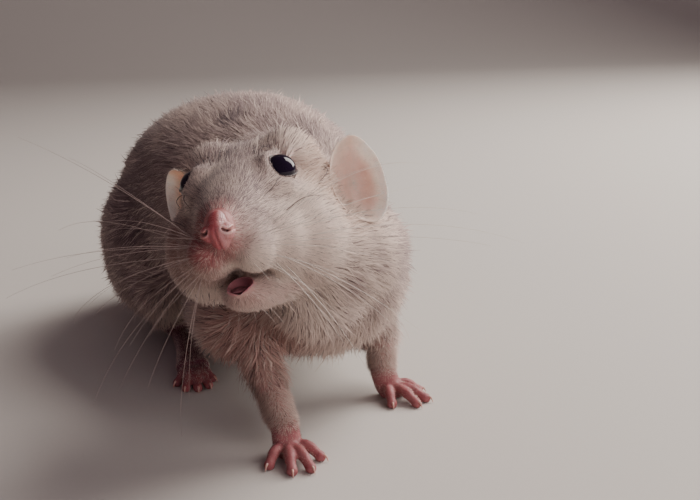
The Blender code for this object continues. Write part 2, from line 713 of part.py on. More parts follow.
def make_head_nodes():
    """Head, muzzle, nose, lower jaw, tongue, eyes and ears, and the neck behind them."""
    head = fuse("head", head_pieces() + neck_pieces() + body_pieces(), 0.6, 11, FACE_TRIANGLES)
    neck = copy_of(head, "neck")
    rear_part(neck, HEAD_NECK, HEAD_FRAME, GAP)
    front_part(neck, NECK_TORSO)
    front_part(head, HEAD_NECK, HEAD_FRAME)
    carve_face(head)
    jaw = copy_of(head, "lower_jaw")
    front_part(jaw, MOUTH_LINE, HEAD_FRAME)
    front_part(jaw, JAW_BACK, HEAD_FRAME)
    room = half_space("room", *MOUTH_LINE, HEAD_FRAME, -GAP)
    front_part(room, JAW_BACK, HEAD_FRAME, -GAP)
    combine(head, room, "DIFFERENCE")
    muzzle = copy_of(head, "muzzle")
    front_part(muzzle, MUZZLE_PLANE, HEAD_FRAME, GAP)
    rear_part(muzzle, NOSE_PLANE, HEAD_FRAME, GAP)
    unite(muzzle, whiskers())
    rear_part(head, MUZZLE_PLANE, HEAD_FRAME)
    nodes = [(neck, "coat"), (head, "coat"), (jaw, "coat"), (muzzle, "coat")]
    nodes += [(make_nose(), "nose"), (make_tongue(), "nose")]
    for name, side in SIDES:
        nodes.append((make_eye(name, side), "eye"))
        nodes.append((clear_of(clear_of(make_ear(name, side), head), neck), "ear"))
    return nodes


def make_body_nodes():
    """Torso, legs, paws and tail."""
    torso = fuse("torso", body_pieces() + neck_pieces() + head_pieces(), 1.0, 12, BODY_TRIANGLES)
    rear_part(torso, NECK_TORSO, back=GAP)
    nodes = []
    for name, side in SIDES:
        foreleg = copy_of(torso, "foreleg_" + name)
        combine(foreleg, foreleg_region(name, side, 0.0), "INTERSECT")
        hind_leg = copy_of(torso, "hind_leg_" + name)
        combine(hind_leg, thigh_region(side, 0.0), "INTERSECT")
        combine(torso, foreleg_region(name, side, GAP), "DIFFERENCE")
        combine(torso, thigh_region(side, GAP), "DIFFERENCE")
        for leg in (foreleg, hind_leg):
            front_part(leg, ANKLES)
            nodes.append((leg, "coat"))
        nodes.append((make_forepaw(name, side), "skin"))
        nodes.append((make_hind_foot(name, side), "skin"))
    nodes.append((torso, "coat"))
    nodes += [(tail, "tail") for tail in make_tail(torso)]
    return nodes


def main():
    clear_scene()
    nodes = make_head_nodes() + make_body_nodes()
    stand_at_origin([obj for obj, _ in nodes])
    for obj, colour in nodes:
        finished(obj, colour)


main()
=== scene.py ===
"""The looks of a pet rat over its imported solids: skin, coat, eyes, ears, claws, whiskers and tail.
Sizes are in millimetres in the rat's own frame: it faces -Y, its left side is at +X, and Z is up."""
import math

import bmesh
import bpy
import numpy as np
from mathutils import Matrix, Vector
from mathutils.bvhtree import BVHTree
from mathutils.kdtree import KDTree


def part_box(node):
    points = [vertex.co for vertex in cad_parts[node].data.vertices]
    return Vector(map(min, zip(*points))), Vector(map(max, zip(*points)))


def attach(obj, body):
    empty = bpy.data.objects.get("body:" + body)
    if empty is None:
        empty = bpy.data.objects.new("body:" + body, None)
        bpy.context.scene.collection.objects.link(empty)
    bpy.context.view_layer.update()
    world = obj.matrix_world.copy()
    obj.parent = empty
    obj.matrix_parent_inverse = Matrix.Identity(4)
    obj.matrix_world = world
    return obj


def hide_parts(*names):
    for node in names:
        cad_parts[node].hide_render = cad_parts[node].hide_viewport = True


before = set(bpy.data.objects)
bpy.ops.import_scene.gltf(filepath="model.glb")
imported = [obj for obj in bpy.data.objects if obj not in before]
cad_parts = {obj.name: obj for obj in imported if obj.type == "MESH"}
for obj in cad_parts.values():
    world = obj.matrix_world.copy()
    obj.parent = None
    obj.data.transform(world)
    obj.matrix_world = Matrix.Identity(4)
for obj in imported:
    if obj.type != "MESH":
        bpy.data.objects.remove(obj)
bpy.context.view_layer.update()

MM = 0.001
SIDES = (("left", 1.0), ("right", -1.0))

# Torso sections: distance behind the shoulders, half width, top, bottom
TORSO = (
    (-26.0, 6.0, 36.0, 27.0),
    (-20.0, 15.5, 46.0, 18.0),
    (-9.0, 21.0, 53.5, 13.5),
    (6.0, 24.5, 59.0, 11.5),
    (24.0, 28.0, 65.0, 10.5),
    (44.0, 32.5, 70.0, 9.5),
    (64.0, 35.0, 71.0, 8.5),
    (82.0, 34.0, 66.5, 8.0),
    (97.0, 29.0, 56.0, 8.5),
    (108.0, 19.5, 41.0, 9.5),
    (115.0, 7.0, 25.0, 12.0),
)
SHOULDER = {"centre": (13.5, 1.0, 33.0), "radii": (12.0, 15.0, 17.5)}
HAUNCH = {"centre": (25.0, 67.0, 28.0), "radii": (17.0, 27.0, 23.5)}
# Loose skin that the turned body gathers on its right flank, and fur that fills throat and nape
FLANK_FOLD = {"centre": (22.5, 3.0, 23.0), "radii": (7.5, 18.0, 10.0)}
THROAT = {"centre": (-6.0, -22.0, 33.0), "radii": (10.5, 10.5, 10.5)}
NAPE = {"centre": (-6.0, 9.0, 52.0), "radii": (15.0, 21.0, 14.2)}
NECK = (((-15.0, -13.0, 49.0), 17.5), ((-7.0, -3.0, 44.0), 20.0), ((0.0, 9.0, 39.0), 22.0))
RUFF = (((-5.5, -24.0, 43.0), 12.5), ((3.0, -17.0, 40.5), 13.5), ((12.0, -4.0, 37.5), 12.0))

# The head's own frame faces -Y, with its origin under the eyes at the height of the nose
HEAD_PLACE = (-22.7, -28.0, 52.0)
HEAD_YAW, HEAD_PITCH, HEAD_ROLL = -30.3, 9.3, 10.6
HEAD = (
    (-23.2, 1.8, 2.0, -2.6),
    (-21.6, 3.1, 3.7, -4.0),
    (-19.0, 4.9, 5.8, -5.8),
    (-15.0, 6.9, 8.4, -7.5),
    (-10.5, 8.4, 10.9, -8.6),
    (-4.0, 10.2, 13.6, -10.5),
    (2.0, 12.8, 15.8, -14.0),
    (9.0, 15.6, 18.0, -17.0),
    (17.0, 17.8, 19.0, -18.0),
    (26.0, 18.0, 18.2, -16.5),
)
JAW = (
    (-15.6, 1.6, -12.6, -14.6),
    (-13.6, 3.7, -11.2, -16.1),
    (-8.0, 6.2, -9.6, -17.8),
    (0.0, 9.4, -8.0, -18.6),
    (8.0, 12.0, -5.0, -19.0),
)
WHISKER_PAD = {"centre": (4.6, -14.2, -4.6), "radii": (4.8, 7.4, 5.2)}
JOWL = {"centre": (8.4, -4.6, -4.4), "radii": (6.2, 9.8, 7.8)}
CHEEK = {"centre": (11.8, 4.6, -4.6), "radii": (8.8, 12.8, 11.6)}
BROW = {"centre": (7.4, 1.0, 10.6), "radii": (4.2, 6.8, 4.2)}
ORBIT = {"centre": (7.4, -1.6, 7.2), "radii": (4.9, 7.4, 5.6)}
EAR_MOUND = {"centre": (12.9, 13.2, 5.0), "radii": (5.6, 8.6, 8.6)}
TEMPLE = {"centre": (8.5, 12.0, 12.0), "radii": (7.3, 10.0, 8.2)}
CHEEKBONE = {"centre": (11.4, 4.5, 2.0), "radii": (6.0, 8.8, 6.0)}
EYE_CENTRE, EYE_RADIUS = (9.4, -0.8, 10.0), 3.55
EYE_FACING = (0.72, -0.30, 0.62)
LID_ANGLES = {"left": 68.0, "right": 48.0}  # from the middle of the eye to its lids
LID_CORNER, UPPER_LID, LOWER_LID = 5.0, 3.0, 12.0  # more at the corners, less above and below

NOSE = {"centre": (0.0, -22.3, 0.1), "radii": (2.3, 2.1, 2.4)}
NOSE_WING = {"centre": (2.0, -22.3, -0.2), "radii": (1.45, 1.7, 1.8)}
MOUTH = {"centre": (-0.7, -13.4, -11.5), "radii": (3.1, 4.2, 2.0)}
PHILTRUM = {"centre": (0.0, -20.4, -6.0), "radii": (0.4, 2.0, 4.4)}
NOSE_SKIN = {"centre": (0.0, -22.0, 1.0), "radii": (3.1, 3.4, 3.5)}
NOSE_TIP = (0.0, -24.0, -1.5)
NOSE_STEM = {"centre": (0.0, -20.7, 0.1), "radii": (2.8, 3.1, 4.1)}
TONGUE = {"centre": (-0.7, -11.7, -12.8), "radii": (2.0, 3.5, 0.75)}
TONGUE_CREASE = -12.7

EAR_ROOT = (18.6, 12.8, 5.6)
EAR_OUT = (0.80, 0.60, -0.02)
EAR_HALF_HEIGHT, EAR_HALF_WIDTH = 10.2, 6.85
EAR_CUP, EAR_SUNK = 4.0, 1.5
EAR_THICK = 0.55
EAR_RINGS, EAR_SIDES = 34, 110
# Each ear's turn, place, lean to the middle, lobes of its rim (angle, spread and share) and colour
EARS = {
    "left": {"turn": 0.0, "shift": (0.0, 0.0, 0.0), "lean": -0.36, "lobes": ((130.0, 32.0, -0.08),),
             "tone": (0.74, 0.52, 0.43)},
    "right": {"turn": 5.0, "shift": (-3.2, 0.0, -0.6), "lean": -0.12,
              "lobes": ((45.0, 25.0, 0.16), (135.0, 25.0, 0.12),
                        (215.0, 40.0, -0.20), (270.0, 35.0, -0.22)),
              # the right ear's warmer peach tone is partly painted light, standing in for light shining
              # through it
              "tone": (0.80, 0.50, 0.36)},
}

FORELEGS = {
    "left": {"elbow": (18.0, 1.0, 20.0), "wrist": (15.4, -9.0, 6.0), "toward": (0.52, -0.85)},
    "right": {"elbow": (-18.2, -13.0, 20.5), "wrist": (-17.8, -32.6, 6.0), "toward": (-0.02, -1.0)},
}
FORELEG_SHOULDER = (15.0, 2.0, 33.0)
FORELEG_RADII = (8.8, 5.7, 3.2)
KNEE, SHANK_MIDDLE = (28.0, 47.0, 20.0), (27.0, 57.5, 12.0)
SHANK_RADII = (9.0, 6.5, 4.3)
SOLE_SINK = 0.3
FORE_DIGIT_RADIUS, HIND_DIGIT_RADIUS = 1.25, 1.2
FOREPAW_DIGITS = ((-42.0, 5.2), (-11.0, 7.4), (10.0, 7.2), (42.0, 4.9))
HIND_HEEL, HIND_TOES = (22.0, 56.0), (26.2, 24.5)
HIND_FEET_BACK = {"left": 12.0, "right": 0.0}
HIND_DIGITS = ((-40.0, 4.8), (-17.0, 8.4), (-1.0, 9.4), (15.0, 8.8), (38.0, 5.4))
TAIL_ROUTE = (
    (0.0, 106.0, 14.0), (0.5, 121.0, 6.0), (3.0, 138.0, 0.0), (11.0, 158.0, 0.0),
    (27.0, 178.0, 0.0), (49.0, 190.0, 0.0), (72.0, 187.0, 0.0), (88.0, 171.0, 0.0), (89.0, 150.0, 0.0),
)
TAIL_BASE_RADIUS, TAIL_TIP_RADIUS = 4.7, 1.0

# Hair lengths, the share of its length that a coat is deep, and the number of tufts in each layer
FACE_HAIR, CROWN_HAIR, BODY_HAIR, LEG_HAIR, PAW_HAIR = 1.5, 4.2, 5.8, 2.2, 0.7
JAW_HAIR, CHEST_HAIR = 2.4, 3.0  # how much longer it is behind the jaw, and in the fringe of the chest
COAT_DEPTH = 0.31
LONG_TUFTS, UNDER_TUFTS, SHORT_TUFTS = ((66000, 118000, 75000))
EAR_HAIRS, TAIL_HAIRS = 2600, 4200
SHORT_HAIR = 2.6
FINE_VOXEL, NOSE_VOXEL = 0.34, 0.11
SKIN_VOXEL = FINE_VOXEL
SMOOTHING = 36  # rounds, at the fine voxel size
SKIN_TRIANGLES = 240000
UNWRAP_TRIANGLES = 6000
PIECE_TRIANGLES = 190000
BAKE_PATCH = 0.003
LOWEST_SKIN, LOWEST_HAIR = 0.05, 0.1  # over the floor
COAT_SEED, EAR_SEED, TAIL_SEED, WHISKER_SEED = 11, 23, 5, 17

# Linear colours
PALE, GREY = (0.57, 0.425, 0.37), (0.27, 0.19, 0.188)
DARK, CREAM = (0.095, 0.06, 0.068), (0.74, 0.59, 0.515)
PINK, RED_PINK, PLUM = (0.50, 0.20, 0.195), (0.29, 0.075, 0.08), (0.44, 0.17, 0.20)
# The first is reddish-brown fur, partly painted shade; the second is painted shade for the right flank
RUSTY_FUR_AND_SHADE, FLANK_SHADE = (0.44, 0.20, 0.17), (0.10, 0.055, 0.075)
TAN, CHIN = (0.50, 0.335, 0.265), (0.46, 0.27, 0.245)
# The last is painted shade for the hind paws
PAW_PINK, PAW_RED, HIND_PAW_SHADE = (0.38, 0.15, 0.155), (0.27, 0.065, 0.075), (0.16, 0.045, 0.07)
# The first two are painted shade for the far cheek and the far side of the muzzle
FAR_CHEEK_SHADE, FAR_MUZZLE_SHADE, LEG_TONE = (0.16, 0.07, 0.065), (0.22, 0.08, 0.072), (0.55, 0.36, 0.31)
LID_DARK = (0.035, 0.02, 0.022)
# The first is the ear's pale rim, whitened as painted light through the thin edge
EAR_RIM_AND_GLOW, EAR_BLOTCH = (0.98, 0.88, 0.80), (0.60, 0.34, 0.27)
EAR_BASE, EAR_HAIR = (0.55, 0.30, 0.25), (0.72, 0.60, 0.52)
# Nose colours: a deeper red for its shaded side, a paler pink for its lit side, a painted highlight, a rim
# partly painted highlight, and painted shade in the cleft and the nostrils
NOSE_RED_SHADED, NOSE_PINK_LIT, NOSE_HIGHLIGHT = (0.27, 0.065, 0.075), (0.52, 0.24, 0.24), (0.62, 0.36, 0.36)
NOSE_RIM_AND_SHEEN, NOSE_CLEFT_SHADE, NOSTRIL_SHADE = (0.78, 0.50, 0.48), (0.36, 0.08, 0.09), (0.07, 0.012, 0.016)
TAIL_TONE, TAIL_STEP = (0.55, 0.38, 0.33), (0.33, 0.20, 0.17)
TAIL_GREY, TAIL_HAIR = (0.30, 0.25, 0.25), (0.55, 0.47, 0.42)


def head_matrix():
    """From the head's own frame to the rat's."""
    yaw = Matrix.Rotation(math.radians(HEAD_YAW), 4, "Z")
    pitch = Matrix.Rotation(math.radians(-HEAD_PITCH), 4, "X")
    roll = Matrix.Rotation(math.radians(-HEAD_ROLL), 4, "Y")
    return Matrix.Translation(HEAD_PLACE) @ yaw @ pitch @ roll


HEAD_FRAME = head_matrix()
RAT_FRAME = Matrix.Identity(4)


def frame_shift():
    """From the rat's frame to the row's, found from where the left eye is."""
    low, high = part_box("eye_left")
    return np.array((low + high) / 2 / MM - HEAD_FRAME @ Vector(EYE_CENTRE))


SHIFT = frame_shift()


def moved(points, matrix):
    """Points carried by a matrix."""
    m = np.array(matrix)
    return np.asarray(points, float) @ m[:3, :3].T + m[:3, 3]


def in_head(points):
    """From the rat's frame to the head's."""
    return moved(points, HEAD_FRAME.inverted())


def on_side(place, side):
    """A place given for the left side, mirrored where side is -1."""
    return (side * place[0], *place[1:])


def rise(x, low, high):
    """From 0 at low to 1 at high, smoothly. Low may be the larger."""
    t = np.clip((x - low) / (high - low), 0.0, 1.0)
    return t * t * (3 - 2 * t)


def apart(points, place):
    """How far each point is from a place."""
    return np.linalg.norm(points - np.array(place), axis=1)


def plain(colour, count):
    """One colour for that many points."""
    return np.tile(np.array(colour), (count, 1))


def unit(v):
    """Directions of length 1."""
    return v / np.maximum(np.linalg.norm(v, axis=-1, keepdims=True), 1e-9)


def noise(points, size, seed):
    """Smooth noise from -1 to 1 with features of about that size."""
    q = points / size + 11.37 * seed
    cell = np.floor(q).astype(np.int64)
    f = q - cell
    f = f * f * (3 - 2 * f)
    total = np.zeros(len(points))
    for dx in (0, 1):
        for dy in (0, 1):
            for dz in (0, 1):
                h = (cell[:, 0] + dx) * 73856093 ^ (cell[:, 1] + dy) * 19349663
                h = (h ^ (cell[:, 2] + dz) * 83492791 ^ seed * 40503) & 0xFFFFFFFF
                h = (h ^ (h >> 13)) * 1274126177 & 0xFFFFFFFF
                h = (h ^ (h >> 16)) * 1103515245 & 0xFFFFFFFF
                weight = np.abs(1 - dx - f[:, 0]) * np.abs(1 - dy - f[:, 1]) * np.abs(1 - dz - f[:, 2])
                total += weight * ((h ^ (h >> 15)) / 0x7FFFFFFF - 1)
    return total


def between(values, t):
    """A smooth curve through evenly spaced values, each a number or a tuple, at t from 0 to 1."""
    v = np.asarray(values, float)
    at = min(max(t, 0.0), 1.0) * (len(v) - 1)
    i = min(int(at), len(v) - 2)
    u = at - i
    before, after = v[max(i - 1, 0)], v[min(i + 2, len(v) - 1)]
    rise_a, rise_b = (v[i + 1] - before) / 2, (after - v[i]) / 2
    return (
        v[i] * (2 * u**3 - 3 * u**2 + 1)
        + rise_a * (u**3 - 2 * u**2 + u)
        + v[i + 1] * (3 * u**2 - 2 * u**3)
        + rise_b * (u**3 - u**2)
    )


def ring_faces(rings, sides):
    """Faces of a body of rings of points, with a flat face at each end."""
    faces = [tuple(reversed(range(sides)))]
    for r in range(rings - 1):
        for s in range(sides):
            n = (s + 1) % sides
            faces.append((r * sides + s, r * sides + n, (r + 1) * sides + n, (r + 1) * sides + s))
    faces.append(tuple((rings - 1) * sides + s for s in range(sides)))
    return faces


def capped_faces(rings, sides):
    """Faces of rings of points that follow one end point and come before the other."""
    faces = [(0, 1 + k, 1 + (k + 1) % sides) for k in range(sides)]
    for r in range(rings - 1):
        for k in range(sides):
            n = (k + 1) % sides
            a, b = 1 + r * sides, 1 + (r + 1) * sides
            faces.append((a + k, b + k, b + n, a + n))
    last = 1 + (rings - 1) * sides
    return faces + [(last + (k + 1) % sides, last + k, last + sides) for k in range(sides)]


def loft(table, place=RAT_FRAME, rings=48, sides=64, squareness=2.2):
    """Points and faces of a body lofted along Y through (y, half width, top, bottom) sections."""
    a = np.arange(sides) * math.tau / sides
    across = np.sign(np.cos(a)) * np.abs(np.cos(a)) ** (2 / squareness)
    up = np.sign(np.sin(a)) * np.abs(np.sin(a)) ** (2 / squareness)
    points = []
    for r in range(rings):
        y, half, top, bottom = between(table, r / (rings - 1))
        ring = np.stack((half * across, np.full(sides, y), (top + bottom) / 2 + (top - bottom) / 2 * up), 1)
        points.append(ring)
    return moved(np.concatenate(points), place), ring_faces(rings, sides)


def ball(spec, place=RAT_FRAME, side=1.0, level=4):
    """Points and faces of an ellipsoid. With side -1 it is on the right, mirrored."""
    bm = bmesh.new()
    bmesh.ops.create_icosphere(bm, subdivisions=level, radius=1.0)
    points = np.array([v.co for v in bm.verts]) * np.array(spec["radii"]) + spec["centre"]
    faces = [tuple(v.index for v in f.verts) for f in bm.faces]
    bm.free()
    if side < 0:
        points[:, 0] *= -1
        faces = [tuple(reversed(f)) for f in faces]
    return moved(points, place), faces


def tube(route, radii, place=RAT_FRAME, rings=16, sides=16, dome=5):
    """Points and faces of a round body along a smooth route, with rounded ends."""
    steps = [i / (rings - 1) for i in range(rings)]
    centres = [Vector(between(route, t)) for t in steps]
    sizes = [float(between(radii, t)) for t in steps]
    along = [(centres[min(i + 1, rings - 1)] - centres[max(i - 1, 0)]).normalized() for i in range(rings)]
    near = (centres[0], sizes[0], along[0])
    far = (centres[-1], sizes[-1], along[-1])
    for step in range(1, dome + 1):
        a = math.radians(80) * step / dome
        centres.insert(0, near[0] - near[2] * near[1] * math.sin(a))
        sizes.insert(0, near[1] * math.cos(a))
        along.insert(0, near[2])
        centres.append(far[0] + far[2] * far[1] * math.sin(a))
        sizes.append(far[1] * math.cos(a))
        along.append(far[2])
    across = along[0].orthogonal().normalized()
    points = []
    for centre, size, heading in zip(centres, sizes, along):
        across = (across - heading * across.dot(heading)).normalized()
        up = heading.cross(across)
        for s in range(sides):
            a = math.tau * s / sides
            points.append(centre + size * (across * math.cos(a) + up * math.sin(a)))
    return moved(points, place), ring_faces(len(centres), sides)


def mesh_object(name, points, faces):
    """An object of those points and faces, smooth, with its faces pointing out."""
    mesh = bpy.data.meshes.new(name)
    mesh.from_pydata(((np.asarray(points) + SHIFT) * MM).tolist(), [], faces)
    mesh.validate()
    obj = bpy.data.objects.new(name, mesh)
    bpy.context.scene.collection.objects.link(obj)
    bm = bmesh.new()
    bm.from_mesh(mesh)
    bmesh.ops.recalc_face_normals(bm, faces=bm.faces)
    bm.to_mesh(mesh)
    bm.free()
    mesh.shade_smooth()
    return obj


def joined(parts):
    """Several lots of points and faces as one."""
    points, faces, count = [], [], 0
    for p, f in parts:
        points.append(p)
        faces += [tuple(i + count for i in face) for face in f]
        count += len(p)
    return np.concatenate(points), faces


def apply_modifiers(obj):
    """Makes what the object's modifiers give its own mesh."""
    bpy.context.view_layer.update()
    graph = bpy.context.evaluated_depsgraph_get()
    made = bpy.data.meshes.new_from_object(obj.evaluated_get(graph))
    obj.modifiers.clear()
    obj.data = made


def vertex_places(obj):
    """The points of a mesh in the rat's frame."""
    co = np.zeros(len(obj.data.vertices) * 3, np.float32)
    obj.data.vertices.foreach_get("co", co)
    return co.reshape(-1, 3).astype(float) / MM - SHIFT


def set_places(obj, points):
    """Moves the points of a mesh to places in the rat's frame."""
    obj.data.vertices.foreach_set("co", ((points + SHIFT) * MM).astype(np.float32).ravel())
    obj.data.update()


def vertex_normals(obj):
    n = np.zeros(len(obj.data.vertices) * 3, np.float32)
    obj.data.vertex_normals.foreach_get("vector", n)
    return n.reshape(-1, 3).astype(float)


def edge_ends(obj):
    e = np.zeros(len(obj.data.edges) * 2, np.int32)
    obj.data.edges.foreach_get("vertices", e)
    return e.reshape(-1, 2)


def relaxed(points, ends, rounds, share):
    """Points drawn towards the middle of their neighbours, each by its own share."""
    first = np.concatenate((ends[:, 0], ends[:, 1]))
    second = np.concatenate((ends[:, 1], ends[:, 0]))
    count = np.maximum(np.bincount(first, minlength=len(points)), 1)
    for _ in range(rounds):
        middle = np.stack([np.bincount(first, points[second, k], len(points)) / count for k in range(3)], 1)
        points = points + (middle - points) * share[:, None]
    return points


def aimed(direction, degrees):
    """A level direction turned about the upright axis."""
    return Matrix.Rotation(math.radians(degrees), 3, "Z") @ Vector((*direction, 0.0)).normalized()


def foreleg_route(name, side):
    """Shoulder, elbow and wrist."""
    leg = FORELEGS[name]
    return [on_side(FORELEG_SHOULDER, side), leg["elbow"], leg["wrist"]]


def shank_route(name, side):
    """Knee, middle of the shank and heel."""
    back = HIND_FEET_BACK[name]
    middle = (SHANK_MIDDLE[0], SHANK_MIDDLE[1] + back / 2, SHANK_MIDDLE[2])
    heel = (HIND_HEEL[0], HIND_HEEL[1] + back, SHANK_RADII[-1] - SOLE_SINK)
    return [on_side(KNEE, side), on_side(middle, side), on_side(heel, side)]


def forepaw_palm(name):
    """The middle of a forepaw, a little ahead of its wrist."""
    leg = FORELEGS[name]
    palm = Vector(leg["wrist"]) + aimed(leg["toward"], 0) * 1.8
    palm.z = 2.3
    return palm


def forepaw_digits(name, side):
    """Base, heading, length and radius of each digit."""
    toward, palm = FORELEGS[name]["toward"], forepaw_palm(name)
    made = []
    for spread, length in FOREPAW_DIGITS:
        base = palm + aimed(toward, side * spread * 1.5) * 2.7
        base.z = 2.5
        made.append((base, aimed(toward, side * spread), length, FORE_DIGIT_RADIUS))
    return made


def hind_line(name, side):
    """Where a hind foot's heel and the roots of its toes are."""
    back = HIND_FEET_BACK[name]
    heel = Vector((side * HIND_HEEL[0], HIND_HEEL[1] + back, 2.5))
    ball_of_foot = Vector((side * HIND_TOES[0], HIND_TOES[1] + back, 2.4))
    return heel, ball_of_foot


def hind_digits(name, side):
    heel, front = hind_line(name, side)
    direction = (front - heel).to_2d()
    made = []
    for spread, length in HIND_DIGITS:
        heading = aimed(direction, side * spread)
        base = front + heading * 2.2
        base.z = 2.4
        made.append((base, heading, length, HIND_DIGIT_RADIUS))
    return made


def digit(base, heading, length, radius):
    """A toe with two joints that swell a little, which comes down to rest on its tip."""
    tip = base + heading * length
    tip.z = radius - SOLE_SINK
    quarter, half = base + heading * length * 0.28, base + heading * length * 0.58
    quarter.z, half.z = base.z + 0.55, base.z * 0.5 + tip.z * 0.5 + 0.75
    radii = [radius * s for s in (1.15, 1.0, 1.06, 0.9, 1.06)]
    return tube((base, quarter, half, half.lerp(tip, 0.5), tip), radii, rings=18, sides=18)


def forepaw_pieces(name, side):
    leg = FORELEGS[name]
    wrist, palm, ahead = Vector(leg["wrist"]), forepaw_palm(name), aimed(leg["toward"], 0)
    thumb = palm + aimed(leg["toward"], -side * 80) * 2.6
    made = [tube((wrist, palm, palm + ahead * 2.0), (3.2, 3.2, 2.3), rings=8, sides=20)]
    made.append(ball({"centre": (thumb.x, thumb.y, 1.6), "radii": (1.3, 1.5, 1.2)}, level=3))
    return made + [digit(*spec) for spec in forepaw_digits(name, side)]


def hind_foot_pieces(name, side):
    heel, front = hind_line(name, side)
    made = []
    for across in (-1.0, 1.0):
        inner, outer = Vector((0.7 * across, 0, 0)), Vector((1.7 * across, 0, 0))
        route = (heel + inner, (heel + front) / 2 + inner, front + outer)
        made.append(tube(route, (2.9, 2.5, 2.8), rings=12, sides=20))
    return made + [digit(*spec) for spec in hind_digits(name, side)]


HEAD_FORMS = (WHISKER_PAD, JOWL, CHEEK, BROW, ORBIT, EAR_MOUND, TEMPLE, CHEEKBONE)


def flesh_pieces():
    """The whole body's forms, paws included, as overlapping closed shapes."""
    made = [loft(TORSO, squareness=2.1), loft(HEAD, HEAD_FRAME), loft(JAW, HEAD_FRAME)]
    made += [tube([p for p, _ in form], [r for _, r in form], rings=14, sides=40) for form in (NECK, RUFF)]
    made += [ball(FLANK_FOLD, side=-1.0), ball(THROAT), ball(NAPE)]
    for name, side in SIDES:
        made += [ball(SHOULDER, side=side), ball(HAUNCH, side=side)]
        made += [ball(form, HEAD_FRAME, side) for form in HEAD_FORMS]
        made.append(tube(foreleg_route(name, side), FORELEG_RADII, sides=28))
        made.append(tube(shank_route(name, side), SHANK_RADII, sides=24))
        made += forepaw_pieces(name, side) + hind_foot_pieces(name, side)
    return made


def along_leg(points, start, end):
    """How far down a leg each point is, from 0 to 1, and how far from its middle line."""
    start, end = np.array(start), np.array(end)
    axis = end - start
    u = np.clip((points - start) @ axis / (axis @ axis), 0, 1.4)
    return u, np.linalg.norm(points - (start + u[:, None] * axis), axis=1)


def paw_share(points):
    """1 on the bare paws, falling to 0 above the wrists and ankles."""
    share = np.zeros(len(points))
    for name, side in SIDES:
        palm = np.array(forepaw_palm(name))
        near = np.linalg.norm((points - palm)[:, :2], axis=1)
        share = np.maximum(share, rise(near, 16, 13) * rise(points[:, 2], 9.5, 5.5))
        heel, front = hind_line(name, side)
        _, off = along_leg(points, heel, front + (front - heel).normalized() * 14)
        share = np.maximum(share, rise(off, 11, 7.5) * rise(points[:, 2], 9.0, 5.0))
    return share


def leg_share(points):
    """0 on the body, rising to 1 at the wrists and heels."""
    share = np.zeros(len(points))
    for name, side in SIDES:
        u, off = along_leg(points, *foreleg_route(name, side)[1:])
        share = np.maximum(share, rise(off, 11, 6.5) * rise(u, -0.1, 0.75))
        u, off = along_leg(points, *shank_route(name, side)[1:])
        share = np.maximum(share, rise(off, 12, 7) * rise(u, 0.0, 0.9))
    return share


def head_share(local):
    """1 on the head and 0 on the body, for points in the head's frame."""
    return rise(local[:, 1], 27, 13) * rise(local[:, 2], -27, -19)


def inside(local, spec, grow=0.0):
    """How deep in an ellipsoid of the head each point is: below 1 inside, above 1 outside."""
    spokes = local - np.array(spec["centre"])
    return np.linalg.norm(spokes / (np.array(spec["radii"]) + grow), axis=1)


def jaw_rear(local):
    """1 behind the jaw and under the cheek, where the longer hair hides the edge of the head."""
    return rise(local[:, 1], -7, 5) * rise(local[:, 2], -6, -14)


def cheek_share(local):
    """1 on the sides and crown of the head, away from eye, nose and mouth, where forms flow together."""
    share = rise(np.abs(local[:, 0]), 4.5, 7.5) * rise(local[:, 1], -18, -14)
    share = share * rise(local[:, 2], -20, -14) * rise(inside(local, MOUTH, 1.0), 1.0, 1.5)
    share = np.maximum(share, rise(local[:, 1], -2, 4) * rise(local[:, 2], 4, 10))
    share = share * rise(local[:, 1], 32, 22)
    for _, side in SIDES:
        off = apart(local, on_side(EYE_CENTRE, side))
        share = share * rise(off, EYE_RADIUS + 0.5, EYE_RADIUS + 3.0)
    return share


def lid_axes(side):
    """Where an eye faces, and the directions to its front corner and its upper lid."""
    facing = Vector(on_side(EYE_FACING, side)).normalized()
    ahead = Vector((0, -1, -0.25))
    ahead = (ahead - facing * ahead.dot(facing)).normalized()
    return facing, ahead, facing.cross(ahead) * -side


def lid_edge(name, ahead, up):
    """The angle to the lids in a direction that has those shares of ahead and up."""
    closed = np.where(up < 0, LOWER_LID, UPPER_LID)
    return LID_ANGLES[name] + LID_CORNER * np.abs(ahead) ** 10 - closed * up**2


def seen_from_eye(local, name, side):
    """Each point's way from the eye's middle, its length, its angle off the middle, and the lids' there."""
    facing, ahead, up = (np.array(axis) for axis in lid_axes(side))
    spoke = local - np.array(on_side(EYE_CENTRE, side))
    off = np.linalg.norm(spoke, axis=1)
    angle = np.degrees(np.arccos(np.clip((spoke @ facing) / np.maximum(off, 1e-6), -1, 1)))
    fore, rising = spoke @ ahead, spoke @ up
    flat = np.maximum(np.hypot(fore, rising), 1e-6)
    return spoke, off, angle, lid_edge(name, fore / flat, rising / flat)


def bare_share(points):
    """1 where there is no hair at all: nose, mouth and eyes."""
    local = in_head(points)
    share = rise(inside(local, NOSE_SKIN), 1.1, 0.98)
    share = np.maximum(share, rise(inside(local, MOUTH, 0.25), 1.06, 0.97))
    for name, side in SIDES:
        _, off, angle, edge = seen_from_eye(local, name, side)
        near = rise(off, EYE_RADIUS + 2.4, EYE_RADIUS + 2.0) * rise(angle, edge + 6, edge + 3)
        share = np.maximum(share, near)
    return share


